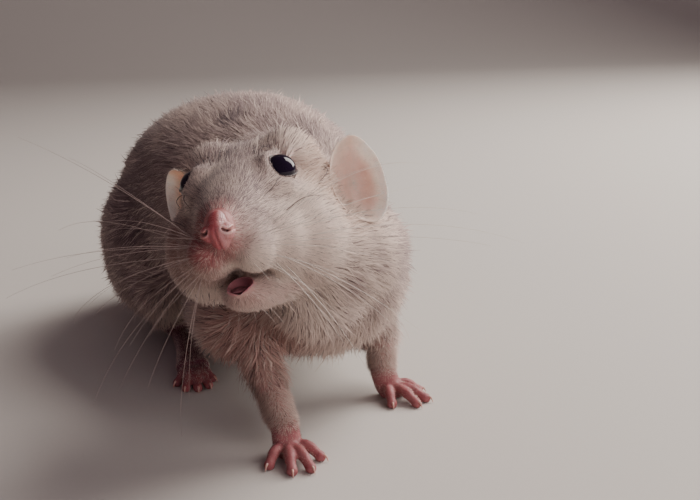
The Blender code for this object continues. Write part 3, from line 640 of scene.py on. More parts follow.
def coat_length(points):
    """The length of the hair that grows at each point."""
    local = in_head(points)
    off = apart(local, NOSE_TIP)
    face = FACE_HAIR + (CROWN_HAIR - FACE_HAIR) * rise(off, 10, 46) + JAW_HAIR * jaw_rear(local)
    for _, side in SIDES:
        off = apart(local, on_side(EYE_CENTRE, side))
        face = face * (0.35 + 0.65 * rise(off, EYE_RADIUS + 0.6, EYE_RADIUS + 3.4))
    fringe = rise(points[:, 2], 24, 16) * rise(points[:, 1], 12, 0) * rise(np.abs(points[:, 0]), 24, 18)
    length = BODY_HAIR + CHEST_HAIR * fringe
    length = length + (face - length) * head_share(local)
    length = length + (LEG_HAIR - length) * leg_share(points)
    length = length + (PAW_HAIR - length) * paw_share(points)
    return length


def mouth_hollow():
    """The open mouth: an ellipsoid, narrowed to a blunt wedge towards the chin."""
    points, faces = ball(MOUTH)
    middle, wide = MOUTH["centre"][2], MOUTH["radii"][0]
    out = np.abs(points[:, 0]) / wide
    low = points[:, 2] < middle
    points[low, 2] = middle + (points[low, 2] - middle) * (1.15 - 0.6 * out[low])
    points[~low, 2] = middle + (points[~low, 2] - middle) * (0.75 + 0.35 * out[~low])
    return moved(points, HEAD_FRAME), faces


def opened_eyes(points):
    """Draws the skin in round each eyeball, so that it closes against it like a lid."""
    local = in_head(points)
    for name, side in SIDES:
        centre = np.array(on_side(EYE_CENTRE, side))
        spoke, off, angle, edge = seen_from_eye(local, name, side)
        allowed = EYE_RADIUS - 0.7 + 0.95 * rise(angle, edge - 1, edge + 5)
        allowed += 0.22 * np.maximum(angle - edge - 5, 0)
        near = (off > allowed) & (off < EYE_RADIUS + 4) & (angle < 125)
        local[near] = centre + spoke[near] * (allowed / np.maximum(off, 1e-6))[near, None]
    return moved(local, HEAD_FRAME)


def make_skin():
    """One closed skin over the body's forms, drawn in from them by the depth of the coat."""
    skin = mesh_object("skin", *joined(flesh_pieces()))
    remesh = skin.modifiers.new("remesh", "REMESH")
    remesh.mode, remesh.voxel_size = "VOXEL", SKIN_VOXEL * MM
    apply_modifiers(skin)
    points, ends = vertex_places(skin), edge_ends(skin)
    share = 0.5 - 0.44 * paw_share(points)
    local = in_head(points)
    share *= 1 - 0.6 * rise(inside(local, NOSE, 5.0), 1.2, 0.8)
    rounds = int(SMOOTHING * (FINE_VOXEL / SKIN_VOXEL) ** 2)
    points = relaxed(points, ends, rounds, share)
    points = relaxed(points, ends, 3 * rounds, 0.5 * cheek_share(in_head(points)))
    set_places(skin, points)
    normals = vertex_normals(skin)
    depth = COAT_DEPTH * coat_length(points) * (1 - paw_share(points))
    depth *= 1 - bare_share(points)
    depth = relaxed(np.repeat(depth[:, None], 3, 1), ends, 12, np.full(len(points), 0.5))[:, 0]
    local = in_head(points)
    groove = 0.6 * rise(inside(local, PHILTRUM, 0.45), 1.3, 0.5)
    points = points - normals * (depth + 0.55 * groove)[:, None]
    points = opened_eyes(points)
    points[:, 2] = np.maximum(points[:, 2], LOWEST_SKIN)
    set_places(skin, points)
    thin = skin.modifiers.new("thin", "DECIMATE")
    thin.ratio = SKIN_TRIANGLES / (2 * len(skin.data.polygons))
    apply_modifiers(skin)
    hollow = mesh_object("hollow", *mouth_hollow())
    cut = skin.modifiers.new("cut", "BOOLEAN")
    cut.operation, cut.object, cut.solver = "DIFFERENCE", hollow, "MANIFOLD"
    apply_modifiers(skin)
    bpy.data.objects.remove(hollow, do_unlink=True)
    skin.data.shade_smooth()
    return skin


# Where the far, shaded side of the nose is painted a deeper red
FAR_NOSTRIL = (-3.0, -20.5, -1.0)
# Places of the coat that differ, several of them painted shade or painted light: centre, radius, colour and
# strength, in the rat's frame
MARKINGS = (
    # reddish-brown fur on the right chest and underside, partly painted shade where that side is turned
    # from the light
    ((-20.0, -16.0, 20.0), 19.0, RUSTY_FUR_AND_SHADE, 0.65),
    # painted shadow under the chin
    ((-24.0, -20.0, 31.0), 6.5, DARK, 0.65),
    # painted shade between the cheek and the shoulder
    ((-3.0, -36.0, 38.0), 5.5, GREY, 0.75),
    ((4.5, -32.0, 41.0), 3.5, GREY, 0.50),
    ((4.0, -32.0, 46.0), 3.0, GREY, 0.35),
    ((16.0, -10.0, 37.0), 7.0, GREY, 0.25),
    ((-8.5, 35.0, 67.0), 7.0, DARK, 0.70),
    # painted shade: the right flank darkened as the side turned from the light
    ((-38.0, 45.0, 42.0), 34.0, FLANK_SHADE, 0.50),
    # painted shade on the far cheek
    ((-37.0, -24.0, 48.0), 11.0, FAR_CHEEK_SHADE, 0.50),
    # these two: painted light on the far side of the nose bridge, which faces away from the lights
    ((-31.5, -27.0, 60.0), 7.0, CREAM, 0.60),
    ((-33.5, -36.0, 61.0), 7.0, CREAM, 0.60),
    ((-14.0, -21.0, 68.0), 7.5, CREAM, 0.60),
    ((-25.5, -44.5, 56.5), 6.0, GREY, 0.65),
    ((-9.0, -26.0, 30.0), 9.0, CREAM, 0.50),
    # painted light on the lower rear edge of the cheek
    ((-9.0, -37.0, 40.0), 6.5, CREAM, 0.45),
    ((-6.5, -18.5, 66.0), 8.0, TAN, 0.50),
)


def mixed(a, b, share):
    """Colours between a and b, each by its own share of b."""
    return a + (np.asarray(b) - a) * np.asarray(share)[:, None]


def coat_tone(points):
    """The colour of the coat at each point: grey above, cream below and on the cheeks, mottled, and painted
    darker or lighter in places as shade and light.
    """
    local = in_head(points)
    count = len(points)
    broad = noise(points, 14.0, 1) + 0.7 * noise(points, 5.0, 2)
    above = rise(points[:, 2], 14, 44)
    colour = plain(CREAM, count)
    colour = mixed(colour, PALE, 0.4 + 0.5 * above)
    colour = mixed(colour, GREY, np.clip(0.15 + 0.35 * above + 0.5 * broad, 0, 0.85))
    colour = mixed(colour, DARK, 0.5 * rise(broad, 0.7, 1.2) * above)
    head = head_share(local)
    bridge = rise(np.abs(local[:, 0]), 14, 4) * rise(local[:, 2], -5, 7)
    shade = np.clip(0.04 + 0.88 * bridge + 0.22 * broad, 0, 0.95)
    face = mixed(plain(CREAM, count), GREY, shade)
    colour = mixed(colour, face, head)
    for _, side in SIDES:
        off = apart(local, on_side(EYE_CENTRE, side))
        colour = mixed(colour, GREY, 0.5 * rise(off, 6.0, 4.0))
        off = apart(local, on_side(EAR_ROOT, side))
        colour = mixed(colour, TAN, 0.80 * rise(off, 17.0, 8.0))
    for centre, radius, tone, strength in MARKINGS:
        off = apart(points, centre) + 2.5 * noise(points, 4.0, 5)
        colour = mixed(colour, tone, strength * rise(off, radius, 0.4 * radius))
    # Painted shade on the far side of the muzzle
    far_shade = rise(local[:, 0], 0.0, -3.5) * rise(local[:, 1], 0, -8)
    far_shade = far_shade * rise(local[:, 2], 5, 1) * rise(local[:, 2], -13, -9)
    colour = mixed(colour, FAR_MUZZLE_SHADE, 0.7 * far_shade)
    chin = rise(local[:, 2], -11.5, -14.0) * rise(local[:, 1], 4, -5)
    colour = mixed(colour, CHIN, 0.5 * chin)
    near_nose = rise(inside(local, NOSE, 3.6), 1.5, 0.8)
    # Pink round the nose, weaker on the near side so that the far, shaded side reads redder: partly painted
    # shade
    colour = mixed(colour, PINK, 0.8 * near_nose * (0.25 + 0.75 * rise(local[:, 0], 4.0, 0.5)))
    # Painted shade: a deeper red on the far, shaded side of the nose
    far_nostril = apart(local, FAR_NOSTRIL)
    colour = mixed(colour, RED_PINK, 0.75 * rise(far_nostril, 7.0, 3.5))
    colour = mixed(colour, CHIN, 0.6 * rise(inside(local, MOUTH, 2.5), 1.4, 0.7))
    return mixed(colour, LEG_TONE, 0.65 * leg_share(points))


def skin_tone(points):
    """Coat colour, a little deeper, under the coat, and bare pink where there is none."""
    colour = coat_tone(points) * 0.85
    local = in_head(points)
    colour = mixed(colour, PINK, 0.15 + 0.5 * leg_share(points))
    colour = mixed(colour, PINK, 0.5 * rise(inside(local, NOSE, 3.0), 1.5, 0.85))
    speckle = 0.5 + 0.5 * noise(points, 1.6, 8)
    paw = mixed(plain(PAW_PINK, len(points)), PAW_RED, 0.3 + 0.6 * speckle)
    # Painted shade: the hind paws are a darker plum than the forepaws
    hind = rise(points[:, 1], 15, 25)[:, None]
    colour = mixed(colour, paw * (1 - hind) + np.array(HIND_PAW_SHADE) * hind, paw_share(points))
    colour = mixed(colour, PLUM, rise(inside(local, MOUTH, 0.15), 1.05, 0.97))
    return mixed(colour, RED_PINK, rise(inside(local, PHILTRUM, 0.7), 1.1, 0.8) * 0.4)


def set_colour(mesh, colours):
    """A colour for each point of a mesh, which its material reads."""
    layer = mesh.color_attributes.new("tone", "FLOAT_COLOR", "POINT")
    full = np.concatenate((colours, np.ones((len(colours), 1))), axis=1)
    layer.data.foreach_set("color", full.astype(np.float32).ravel())


GRAIN_SCALE, GRAIN_DETAIL = 900, 4
BUMP_HEIGHT = 0.0002


def surface(name, base=None, roughness=0.6, attribute=False, bump=(), spread=0.0, **extra):
    """A Principled material, its colour from the mesh or one colour, varied and roughened by noise."""
    material = bpy.data.materials.new(name)
    material.use_nodes = True
    tree = material.node_tree
    shader = tree.nodes["Principled BSDF"]
    place = tree.nodes.new("ShaderNodeTexCoord")
    colour = None
    if attribute:
        tone = tree.nodes.new("ShaderNodeAttribute")
        tone.attribute_name = "tone"
        colour = tone.outputs["Color"]
    if spread:
        grain = tree.nodes.new("ShaderNodeTexNoise")
        grain.inputs["Scale"].default_value = GRAIN_SCALE
        grain.inputs["Detail"].default_value = GRAIN_DETAIL
        tree.links.new(place.outputs["Object"], grain.inputs["Vector"])
        ramp = tree.nodes.new("ShaderNodeMapRange")
        ramp.inputs["To Min"].default_value = 1 - spread
        ramp.inputs["To Max"].default_value = 1 + spread
        tree.links.new(grain.outputs["Fac"], ramp.inputs["Value"])
        mix = tree.nodes.new("ShaderNodeMix")
        mix.data_type, mix.blend_type = "RGBA", "MULTIPLY"
        mix.inputs[0].default_value = 1.0
        if colour:
            tree.links.new(colour, mix.inputs[6])
        else:
            mix.inputs[6].default_value = (*base, 1)
        tree.links.new(ramp.outputs["Result"], mix.inputs[7])
        colour = mix.outputs[2]
    if colour:
        tree.links.new(colour, shader.inputs["Base Color"])
    else:
        shader.inputs["Base Color"].default_value = (*base, 1)
    last = None
    for kind, scale, strength in bump:
        texture = tree.nodes.new("ShaderNodeTexVoronoi" if kind == "cells" else "ShaderNodeTexNoise")
        texture.inputs["Scale"].default_value = scale
        tree.links.new(place.outputs["Object"], texture.inputs["Vector"])
        node = tree.nodes.new("ShaderNodeBump")
        node.inputs["Strength"].default_value = strength
        node.inputs["Distance"].default_value = BUMP_HEIGHT
        tree.links.new(texture.outputs["Distance" if kind == "cells" else "Fac"], node.inputs["Height"])
        if last:
            tree.links.new(last.outputs["Normal"], node.inputs["Normal"])
        last = node
    if last:
        tree.links.new(last.outputs["Normal"], shader.inputs["Normal"])
    shader.inputs["Roughness"].default_value = roughness
    for key, value in extra.items():
        shader.inputs[key.replace("_", " ")].default_value = value
    return material


def dress(obj, material, slot, *nodes):
    """Gives a piece its material, sets it to ride with the body, and says which nodes it stands for."""
    obj.data.materials.clear()
    obj.data.materials.append(material)
    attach(obj, "root")
    if nodes:
        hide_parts(*nodes)


# Coat

def triangle_mesh(name, points, triangles):
    """A mesh object of many triangles, made from arrays."""
    mesh = bpy.data.meshes.new(name)
    mesh.vertices.add(len(points))
    mesh.vertices.foreach_set("co", ((points + SHIFT) * MM).astype(np.float32).ravel())
    mesh.loops.add(3 * len(triangles))
    mesh.loops.foreach_set("vertex_index", triangles.astype(np.int32).ravel())
    mesh.polygons.add(len(triangles))
    mesh.polygons.foreach_set("loop_start", np.arange(0, 3 * len(triangles), 3, dtype=np.int32))
    mesh.update(calc_edges=True)
    mesh.shade_smooth()
    obj = bpy.data.objects.new(name, mesh)
    bpy.context.scene.collection.objects.link(obj)
    return obj


def skin_triangles(skin):
    """Corners, corner normals and areas of the skin's triangles."""
    mesh = skin.data
    mesh.calc_loop_triangles()
    index = np.zeros(len(mesh.loop_triangles) * 3, np.int32)
    mesh.loop_triangles.foreach_get("vertices", index)
    index = index.reshape(-1, 3)
    places, normals = vertex_places(skin), vertex_normals(skin)
    corners = places[index]
    across = np.cross(corners[:, 1] - corners[:, 0], corners[:, 2] - corners[:, 0])
    areas = 0.5 * np.linalg.norm(across, axis=1)
    return corners, normals[index], areas


def tuft_density(points, short):
    """How closely short or long tufts grow at each point."""
    length = coat_length(points)
    paws = paw_share(points)
    density = (SHORT_HAIR / length) ** 1.1 if short else np.ones(len(points))
    density *= (length < SHORT_HAIR) == short
    density *= 1 - 0.93 * paws
    soles = paws * rise(points[:, 2], 2.6, 1.6)
    return density * (1 - soles) * (bare_share(points) < 0.5)


def grown_roots(triangles, count, short, rng):
    """Places and normals spread over the skin, where short or where long hair grows."""
    corners, normals, areas = triangles
    weight = np.cumsum(areas * tuft_density(corners.mean(axis=1), short))
    draw = (np.arange(count) + rng.random(count)) / count * weight[-1]
    pick = np.minimum(np.searchsorted(weight, draw), len(weight) - 1)
    a, b = rng.random(count), rng.random(count)
    flip = a + b > 1
    a[flip], b[flip] = 1 - a[flip], 1 - b[flip]
    share = np.stack((1 - a - b, a, b), axis=1)[:, :, None]
    return (corners[pick] * share).sum(axis=1), unit((normals[pick] * share).sum(axis=1))


def coat_lie(points, normals):
    """The direction in which the hair lies: back from the nose, back and down the body, down the legs."""
    local = in_head(points)
    away = unit(local - np.array(NOSE_TIP)) + np.array((0.0, 0.35, -0.1))
    for _, side in SIDES:
        from_eye = local - np.array(on_side(EYE_CENTRE, side))
        off = np.linalg.norm(from_eye, axis=1)
        away = away + 1.3 * unit(from_eye) * rise(off, 8.0, 4.0)[:, None]
    spin = np.array(HEAD_FRAME)[:3, :3]
    head = unit(away) @ spin.T
    share = head_share(local)[:, None]
    lie = np.array((0.0, 1.0, -0.55)) * (1 - share) + head * share
    for name, side in SIDES:
        for start, end in (foreleg_route(name, side)[1:], shank_route(name, side)[1:]):
            u, off = along_leg(points, start, end)
            down = unit(np.array(end) - np.array(start))
            lie = lie + 2.2 * down * (rise(off, 11, 6.5) * rise(u, -0.2, 0.4))[:, None]
    return unit(lie - normals * (lie * normals).sum(axis=1, keepdims=True))


def turned(lie, normals, angles):
    """Directions turned about the normals."""
    side = np.cross(normals, lie)
    return lie * np.cos(angles)[:, None] + side * np.sin(angles)[:, None]


def spines(roots, normals, lie, length, lift, flat, wave, phase, marks):
    """The middle line of each tuft: it leaves the skin at one angle, bends over and waves sideways."""
    side = np.cross(normals, lie)
    lines = [roots - normals * 0.35]
    place = roots
    for k in range(1, len(marks)):
        step = marks[k] - marks[k - 1]
        middle = (marks[k] + marks[k - 1]) / 2
        angle = lift + (flat - lift) * middle
        heading = lie * np.cos(angle)[:, None] + normals * np.sin(angle)[:, None]
        place = place + heading * (length * step)[:, None]
        sway = wave * length * np.sin(phase + math.tau * 0.9 * marks[k]) * marks[k]
        lines.append(place + side * sway[:, None])
    return np.stack(lines, axis=1)


def gathered(lines, guides, roots, guide_roots, marks, pull):
    """Tufts drawn together into locks, each towards the nearest guide, most at their tips."""
    tree = KDTree(len(guide_roots))
    for i, p in enumerate(guide_roots):
        tree.insert(p, i)
    tree.balance()
    nearest = np.array([tree.find(p)[1] for p in roots])
    t = np.array(marks)[None, :, None]
    return lines + (guides[nearest] - lines) * pull[:, None, None] * t**1.3


PROFILES = {2: (1.0, 0.85), 1: (1.0,)}
MARKS = {2: (0.0, 0.5, 1.0), 1: (0.0, 1.0)}


def tuft_shapes(lines, normals, width):
    """Points, triangles and shading normals of three-sided tapering tufts along those lines."""
    count, knots = lines.shape[0], lines.shape[1]
    rings = knots - 1
    per = 3 * rings + 1
    points = np.zeros((count, per, 3))
    shade = np.zeros((count, per, 3))
    for k in range(rings):
        heading = unit(lines[:, k + 1] - lines[:, max(k - 1, 0)])
        side = unit(np.cross(heading, normals))
        up = np.cross(side, heading)
        half = (width * PROFILES[rings][k] / 2)[:, None]
        for c, (across, above) in enumerate(((-1.0, -0.12), (1.0, -0.12), (0.0, 0.55))):
            points[:, 3 * k + c] = lines[:, k] + side * half * across + up * half * above
            shade[:, 3 * k + c] = normals + 0.24 * side * across + 0.1 * up * above
    points[:, -1] = lines[:, -1]
    shade[:, -1] = normals
    faces = [(0, 1, 2)]
    for k in range(rings - 1):
        for c in range(3):
            d = (c + 1) % 3
            a, b, e, f = 3 * k + c, 3 * k + d, 3 * k + 3 + c, 3 * k + 3 + d
            faces += [(a, f, b), (a, e, f)]
    last = 3 * (rings - 1)
    faces += [(last + (c + 1) % 3, last + c, per - 1) for c in range(3)]
    triangles = np.array(faces)[None] + (np.arange(count) * per)[:, None, None]
    return points.reshape(-1, 3), triangles.reshape(-1, 3), unit(shade).reshape(-1, 3), per


def skin_unwrap(skin):
    """A coarse copy of the skin, unwrapped, to look up where each root is on it."""
    proxy = skin.copy()
    proxy.data = skin.data.copy()
    bpy.context.scene.collection.objects.link(proxy)
    thin = proxy.modifiers.new("thin", "DECIMATE")
    thin.ratio = UNWRAP_TRIANGLES / len(proxy.data.polygons)
    apply_modifiers(proxy)
    bpy.context.view_layer.objects.active = proxy
    proxy.select_set(True)
    proxy.data.uv_layers.new(name="OFBake")
    bpy.ops.object.mode_set(mode="EDIT")
    bpy.ops.mesh.select_all(action="SELECT")
    bpy.ops.uv.smart_project(angle_limit=math.radians(66), island_margin=0.004)
    bpy.ops.object.mode_set(mode="OBJECT")
    mesh = proxy.data
    mesh.calc_loop_triangles()
    uv = np.zeros(len(mesh.loops) * 2, np.float32)
    mesh.uv_layers["OFBake"].data.foreach_get("uv", uv)
    uv = uv.reshape(-1, 2)
    places = vertex_places(proxy)
    loops = np.array([t.loops[:] for t in mesh.loop_triangles])
    verts = np.array([t.vertices[:] for t in mesh.loop_triangles])
    tree = BVHTree.FromPolygons(places.tolist(), verts.tolist())
    bpy.data.objects.remove(proxy, do_unlink=True)
    return tree, places[verts], uv[loops]


def unwrapped(roots, unwrap):
    """Where each root is on the unwrapped skin."""
    tree, corners, uv = unwrap
    found = [tree.find_nearest(p) for p in roots.tolist()]
    face = np.array([f[2] for f in found])
    near = np.array([f[0] for f in found])
    a, b, c = corners[face, 0], corners[face, 1], corners[face, 2]
    ab, ac, ap = b - a, c - a, near - a
    d00, d01, d11 = (ab * ab).sum(1), (ab * ac).sum(1), (ac * ac).sum(1)
    d20, d21 = (ap * ab).sum(1), (ap * ac).sum(1)
    det = np.maximum(d00 * d11 - d01 * d01, 1e-12)
    v, w = (d11 * d20 - d01 * d21) / det, (d00 * d21 - d01 * d20) / det
    share = np.clip(np.stack((1 - v - w, v, w), 1), 0, 1)[:, :, None]
    return (uv[face] * share).sum(axis=1)


def hair_pieces(name, lines, normals, width, root_tone, tip_tone, bake, material, slot):
    """Tufts as joined meshes, each under the limit of triangles, with colours, normals and bake patches."""
    knots = lines.shape[1]
    per_tuft = 6 * (knots - 2) + 4
    chunk = PIECE_TRIANGLES // per_tuft
    for number, first in enumerate(range(0, len(lines), chunk)):
        part = slice(first, first + chunk)
        points, triangles, shade, per = tuft_shapes(lines[part], normals[part], width[part])
        points[:, 2] = np.maximum(points[:, 2], LOWEST_HAIR)
        obj = triangle_mesh("%s_%d" % (name, number + 1), points, triangles)
        along = np.repeat(np.arange(knots - 1) / (knots - 1), 3)
        along = np.append(along, 1.0)
        mix = np.tile(along**0.8, len(points) // per)[:, None]
        root = np.repeat(root_tone[part], per, axis=0)
        tip = np.repeat(tip_tone[part], per, axis=0)
        set_colour(obj.data, root * (1 - mix) + tip * mix)
        across = np.append(np.tile((-0.5, 0.5, 0.0), knots - 1), 0.0)
        patch = np.stack((np.tile(across, len(points) // per), np.tile(along - 0.5, len(points) // per)), 1)
        place = np.repeat(bake[part], per, axis=0) + BAKE_PATCH * patch
        layer = obj.data.uv_layers.new(name="OFBake")
        layer.data.foreach_set("uv", place[triangles.ravel()].astype(np.float32).ravel())
        obj.data.normals_split_custom_set_from_vertices(shade.tolist())
        dress(obj, material, slot)


def swirled(points, normals):
    """The lie of the coat with its whorls: wide ones on the body, hardly any on the face."""
    calm = 1 - 0.7 * head_share(in_head(points))
    turn = (0.60 * noise(points, 12.0, 21) + 0.50 * noise(points, 5.0, 22)) * calm
    return turned(coat_lie(points, normals), normals, turn)


def tuft_colours(roots, rng):
    """Colours of the tufts: mottled, with dark and pale ones among them."""
    tone = coat_tone(roots)
    local = in_head(roots)
    top = head_share(local) * rise(np.abs(local[:, 0]), 15, 6) * rise(local[:, 2], -3, 6)
    fleck = rng.random(len(roots))
    tone = mixed(tone, DARK, np.where(fleck < 0.06 + 0.26 * top, 0.85, 0.0))
    tone = mixed(tone, CREAM, np.where(fleck > 0.82 - 0.1 * top, 0.65, 0.0))
    return tone * rng.uniform(0.85, 1.15, len(roots))[:, None]


# The coat's layers: name, number of tufts, whether they grow where hair is short, and bends in each
LAYERS = (
    ("coat_short", SHORT_TUFTS, True, 1),
    ("coat_under", UNDER_TUFTS, False, 1),
    ("coat_long", LONG_TUFTS, False, 2),
)


def make_coat(skin, unwrap, material):
    """The coat: short straight tufts on face and legs, and on the body fine ones under longer bent ones."""
    rng = np.random.default_rng(COAT_SEED)
    triangles = skin_triangles(skin)
    for name, count, short, bends in LAYERS:
        roots, normals = grown_roots(triangles, count, short, rng)
        order = np.argsort(roots[:, 1], kind="stable")
        roots, normals = roots[order], normals[order]
        size = len(roots)
        straight = bends == 1
        length = coat_length(roots) * rng.uniform(0.7, 1.15, size)
        stray = rng.random(size) < 0.04
        length = np.where(stray, length * 1.25, length)
        lie = turned(swirled(roots, normals), normals, rng.normal(0, 0.18, size))
        marks = MARKS[bends]
        if straight:
            stand = (22 if short else 17) + rng.normal(0, 7, size)
            lift = np.radians(stand + 12 * jaw_rear(in_head(roots)))
            flat = lift
            wave, phase = np.zeros(size), np.zeros(size)
        else:
            lift = np.radians(28 + 8 * noise(roots, 5.0, 23) + rng.normal(0, 6, size) + 12 * stray)
            flat = np.radians(5 + 7 * noise(roots, 6.0, 24) + rng.normal(0, 6, size) + 10 * stray)
            wave = rng.uniform(0.03, 0.12, size)
            phase = 2.2 * noise(roots, 5.0, 25) + rng.uniform(-0.8, 0.8, size)
        lines = spines(roots, normals, lie, length, lift, flat, wave, phase, marks)
        guide_roots, guide_normals = grown_roots(triangles, size // 32, short, rng)
        n = len(guide_roots)
        first, last = (0.33, 0.33) if straight else (0.55, 0.15)
        guides = spines(guide_roots, guide_normals, swirled(guide_roots, guide_normals),
                        coat_length(guide_roots), np.full(n, first), np.full(n, last), np.full(n, 0.06),
                        2.2 * noise(guide_roots, 5.0, 25), marks)
        pull = rng.uniform(0.0, 0.6, size) * (0.5 if straight else 1.0) * ~stray
        lines = gathered(lines, guides, roots, guide_roots, marks, pull)
        thick = 0.17 if straight else 0.20
        width = np.clip(0.055 * length, thick, 0.32) * rng.uniform(0.75, 1.25, size)
        tone = tuft_colours(roots, rng)
        bake = unwrapped(roots, unwrap)
        hair_pieces(name, lines, normals, width, tone * 0.90, tone * 1.04, bake, material, "coat")


# Eyes, lids, nose, mouth and ears

EYE_ROWS, EYE_COLUMNS = 40, 72
EYE_PROUD = 0.02


def make_eyeball(name, side, material):
    """A ball whose front stands a little proud, as the clear skin over a real eye does."""
    rows, columns = EYE_ROWS, EYE_COLUMNS
    centre = np.array(on_side(EYE_CENTRE, side))
    facing = Vector(on_side(EYE_FACING, side)).normalized()
    turn = np.array(facing.to_track_quat("Z", "Y").to_matrix())
    points = [(0, 0, EYE_RADIUS * (1 + EYE_PROUD))]
    for r in range(1, rows):
        a = math.pi * r / rows
        dome = EYE_RADIUS * (1 + EYE_PROUD * max(math.cos(a), 0) ** 4)
        for c in range(columns):
            b = math.tau * c / columns
            wide = dome * math.sin(a)
            points.append((wide * math.cos(b), wide * math.sin(b), dome * math.cos(a)))
    points.append((0, 0, -EYE_RADIUS))
    local = np.array(points) @ turn.T + centre
    eye = mesh_object("eyeball_" + name, moved(local, HEAD_FRAME), capped_faces(rows - 1, columns))
    dress(eye, material, "eye", "eye_" + name)


# The section of the lids, from their edge: degrees outwards and height over the eyeball
LID_PROFILE = ((0.0, 0.03), (0.8, 0.15), (2.2, 0.24), (4.5, 0.28), (7.5, 0.22), (10.0, 0.05),
               (12.0, -0.3), (12.0, -0.8), (6.0, -0.5), (2.0, -0.25))


def make_lids(name, side, material):
    """The thin dark rim of the lids, against the eyeball, drawn out to a corner in front and behind."""
    centre = np.array(on_side(EYE_CENTRE, side))
    facing, ahead, up = lid_axes(side)
    around = 120
    points, away_from_edge = [], []
    for i in range(around):
        a = math.tau * i / around
        crease = 0.05 * math.sin(9 * a + side) + 0.03 * math.sin(23 * a)
        spoke = ahead * math.cos(a) + up * math.sin(a)
        for away, height in LID_PROFILE:
            angle = math.radians(float(lid_edge(name, math.cos(a), math.sin(a))) + away)
            direction = facing * math.cos(angle) + spoke * math.sin(angle)
            rim = EYE_RADIUS + height + crease * (2 < away < 9)
            points.append(centre + np.array(direction) * rim)
            away_from_edge.append(away)
    sides = len(LID_PROFILE)
    faces = []
    for i in range(around):
        for k in range(sides):
            i2, k2 = (i + 1) % around, (k + 1) % sides
            faces.append((i * sides + k, i2 * sides + k, i2 * sides + k2, i * sides + k2))
    lid = mesh_object("lids_" + name, moved(points, HEAD_FRAME), faces)
    share = rise(np.array(away_from_edge), 9.0, 2.0)
    colour = mixed(coat_tone(vertex_places(lid)) * 0.6, LID_DARK, 0.95 * share)
    set_colour(lid.data, colour)
    dress(lid, material, "paw")


def ear_depth(u, v):
    """How deep the ear's cup is at a place on it, from -1 to 1 across and up: its folds and rolled rim."""
    r = math.hypot(u, v)
    depth = EAR_CUP * (1 - r * r)
    depth += 0.9 * math.exp(-(((u + 0.45) / 0.45) ** 2) - ((v + 0.3) / 0.5) ** 2)
    depth -= 0.5 * math.exp(-(((u + 0.05 - 0.35 * v) / 0.22) ** 2)) * max(1 - r, 0) * 1.6
    rolled = min(max((r - 0.84) / 0.12, 0.0), 1.0)
    return depth - 0.75 * rolled * (0.35 + 0.65 * max(v + 0.3 - 0.4 * u, 0.0))


def make_ear(name, side, material):
    """A thin cup of bare skin with a rolled rim, folds at its root and a fuzz of fine hairs."""
    spec = EARS[name]
    lobes = spec["lobes"]
    out = Matrix.Rotation(math.radians(spec["turn"]), 3, "Z") @ Vector(EAR_OUT).normalized()
    upward = Vector((spec["lean"], 0.02, 1.0))
    up = (upward - out * out.dot(upward)).normalized()
    back = up.cross(out)
    middle = Vector(EAR_ROOT) + Vector(spec["shift"]) + out * (EAR_HALF_WIDTH - EAR_SUNK)
    rings, sides = EAR_RINGS, EAR_SIDES
    rows = [(r / rings, 0.0) for r in range(1, rings + 1)] + [(1.014, 0.5)]
    rows += [(r / rings * 0.994, 1.0) for r in range(rings, 0, -1)]
    points = []
    for share, behind in [(0.0, 0.0)] + rows + [(0.0, 1.0)]:
        thick = EAR_THICK * (1.3 - 0.6 * min(share, 1.0))
        for k in range(sides if share else 1):
            a = math.tau * k / sides
            rim = 1.0 + 0.04 * math.cos(3 * a) + 0.007 * math.sin(7 * a + 1.3) + 0.004 * math.sin(13 * a)
            rim += sum(more * math.exp(-(((math.degrees(a) - at) / wide) ** 2)) for at, wide, more in lobes)
            u, v = -math.cos(a) * share, math.sin(a) * share
            depth = ear_depth(u, v) + thick * behind
            p = middle + out * (EAR_HALF_WIDTH * u * rim) + up * (EAR_HALF_HEIGHT * v * rim) + back * depth
            points.append((side * p.x, p.y, p.z))
    ear = mesh_object("ear_cup_" + name, moved(points, HEAD_FRAME), capped_faces(len(rows), sides))
    where = vertex_places(ear)
    shares = np.array([0.0] + [row[0] for row in rows for _ in range(sides)] + [0.0])
    inner = plain(spec["tone"], len(where))
    ring = [-math.cos(math.tau * k / sides) for k in range(sides)]
    outward = np.array([0.0] + ring * len(rows) + [0.0])
    # A pale rim, whitened most on the outer side to stand in for light through the thin edge: partly
    # painted light
    edge = rise(shares, 0.55, 0.92) * (0.15 + 0.85 * rise(outward, 0.0, 0.7))
    colour = mixed(inner, EAR_RIM_AND_GLOW, edge)
    blotches = 0.6 * rise(noise(where, 3.4, 31), 0.0, 0.9) * rise(shares, 0.9, 0.5)
    colour = mixed(colour, EAR_BLOTCH, blotches)
    root = apart(in_head(where), on_side(EAR_ROOT, side))
    colour = mixed(colour, EAR_BASE, 0.5 * rise(root, 6.0, 2.0))
    set_colour(ear.data, colour)
    dress(ear, material, "ear", "ear_" + name)
    rng = np.random.default_rng(EAR_SEED)
    normals = vertex_normals(ear)
    chance = 0.25 + shares**4
    pick = rng.choice(len(where), EAR_HAIRS, p=chance / chance.sum())
    away = unit(where[pick] - np.array(HEAD_FRAME @ (Vector(on_side(EAR_ROOT, side)))))
    lie = unit(away - normals[pick] * (away * normals[pick]).sum(axis=1, keepdims=True))
    n = len(pick)
    lines = spines(where[pick], normals[pick], lie, rng.uniform(0.5, 1.1, n), rng.uniform(0.3, 0.9, n),
                   np.full(n, 0.3), np.zeros(n), np.zeros(n), MARKS[1])
    lines[:, 0] = where[pick] - normals[pick] * 0.1
    tone = plain(EAR_HAIR, n) * rng.uniform(0.8, 1.1, n)[:, None]
    return lines, normals[pick], np.full(n, 0.07), tone


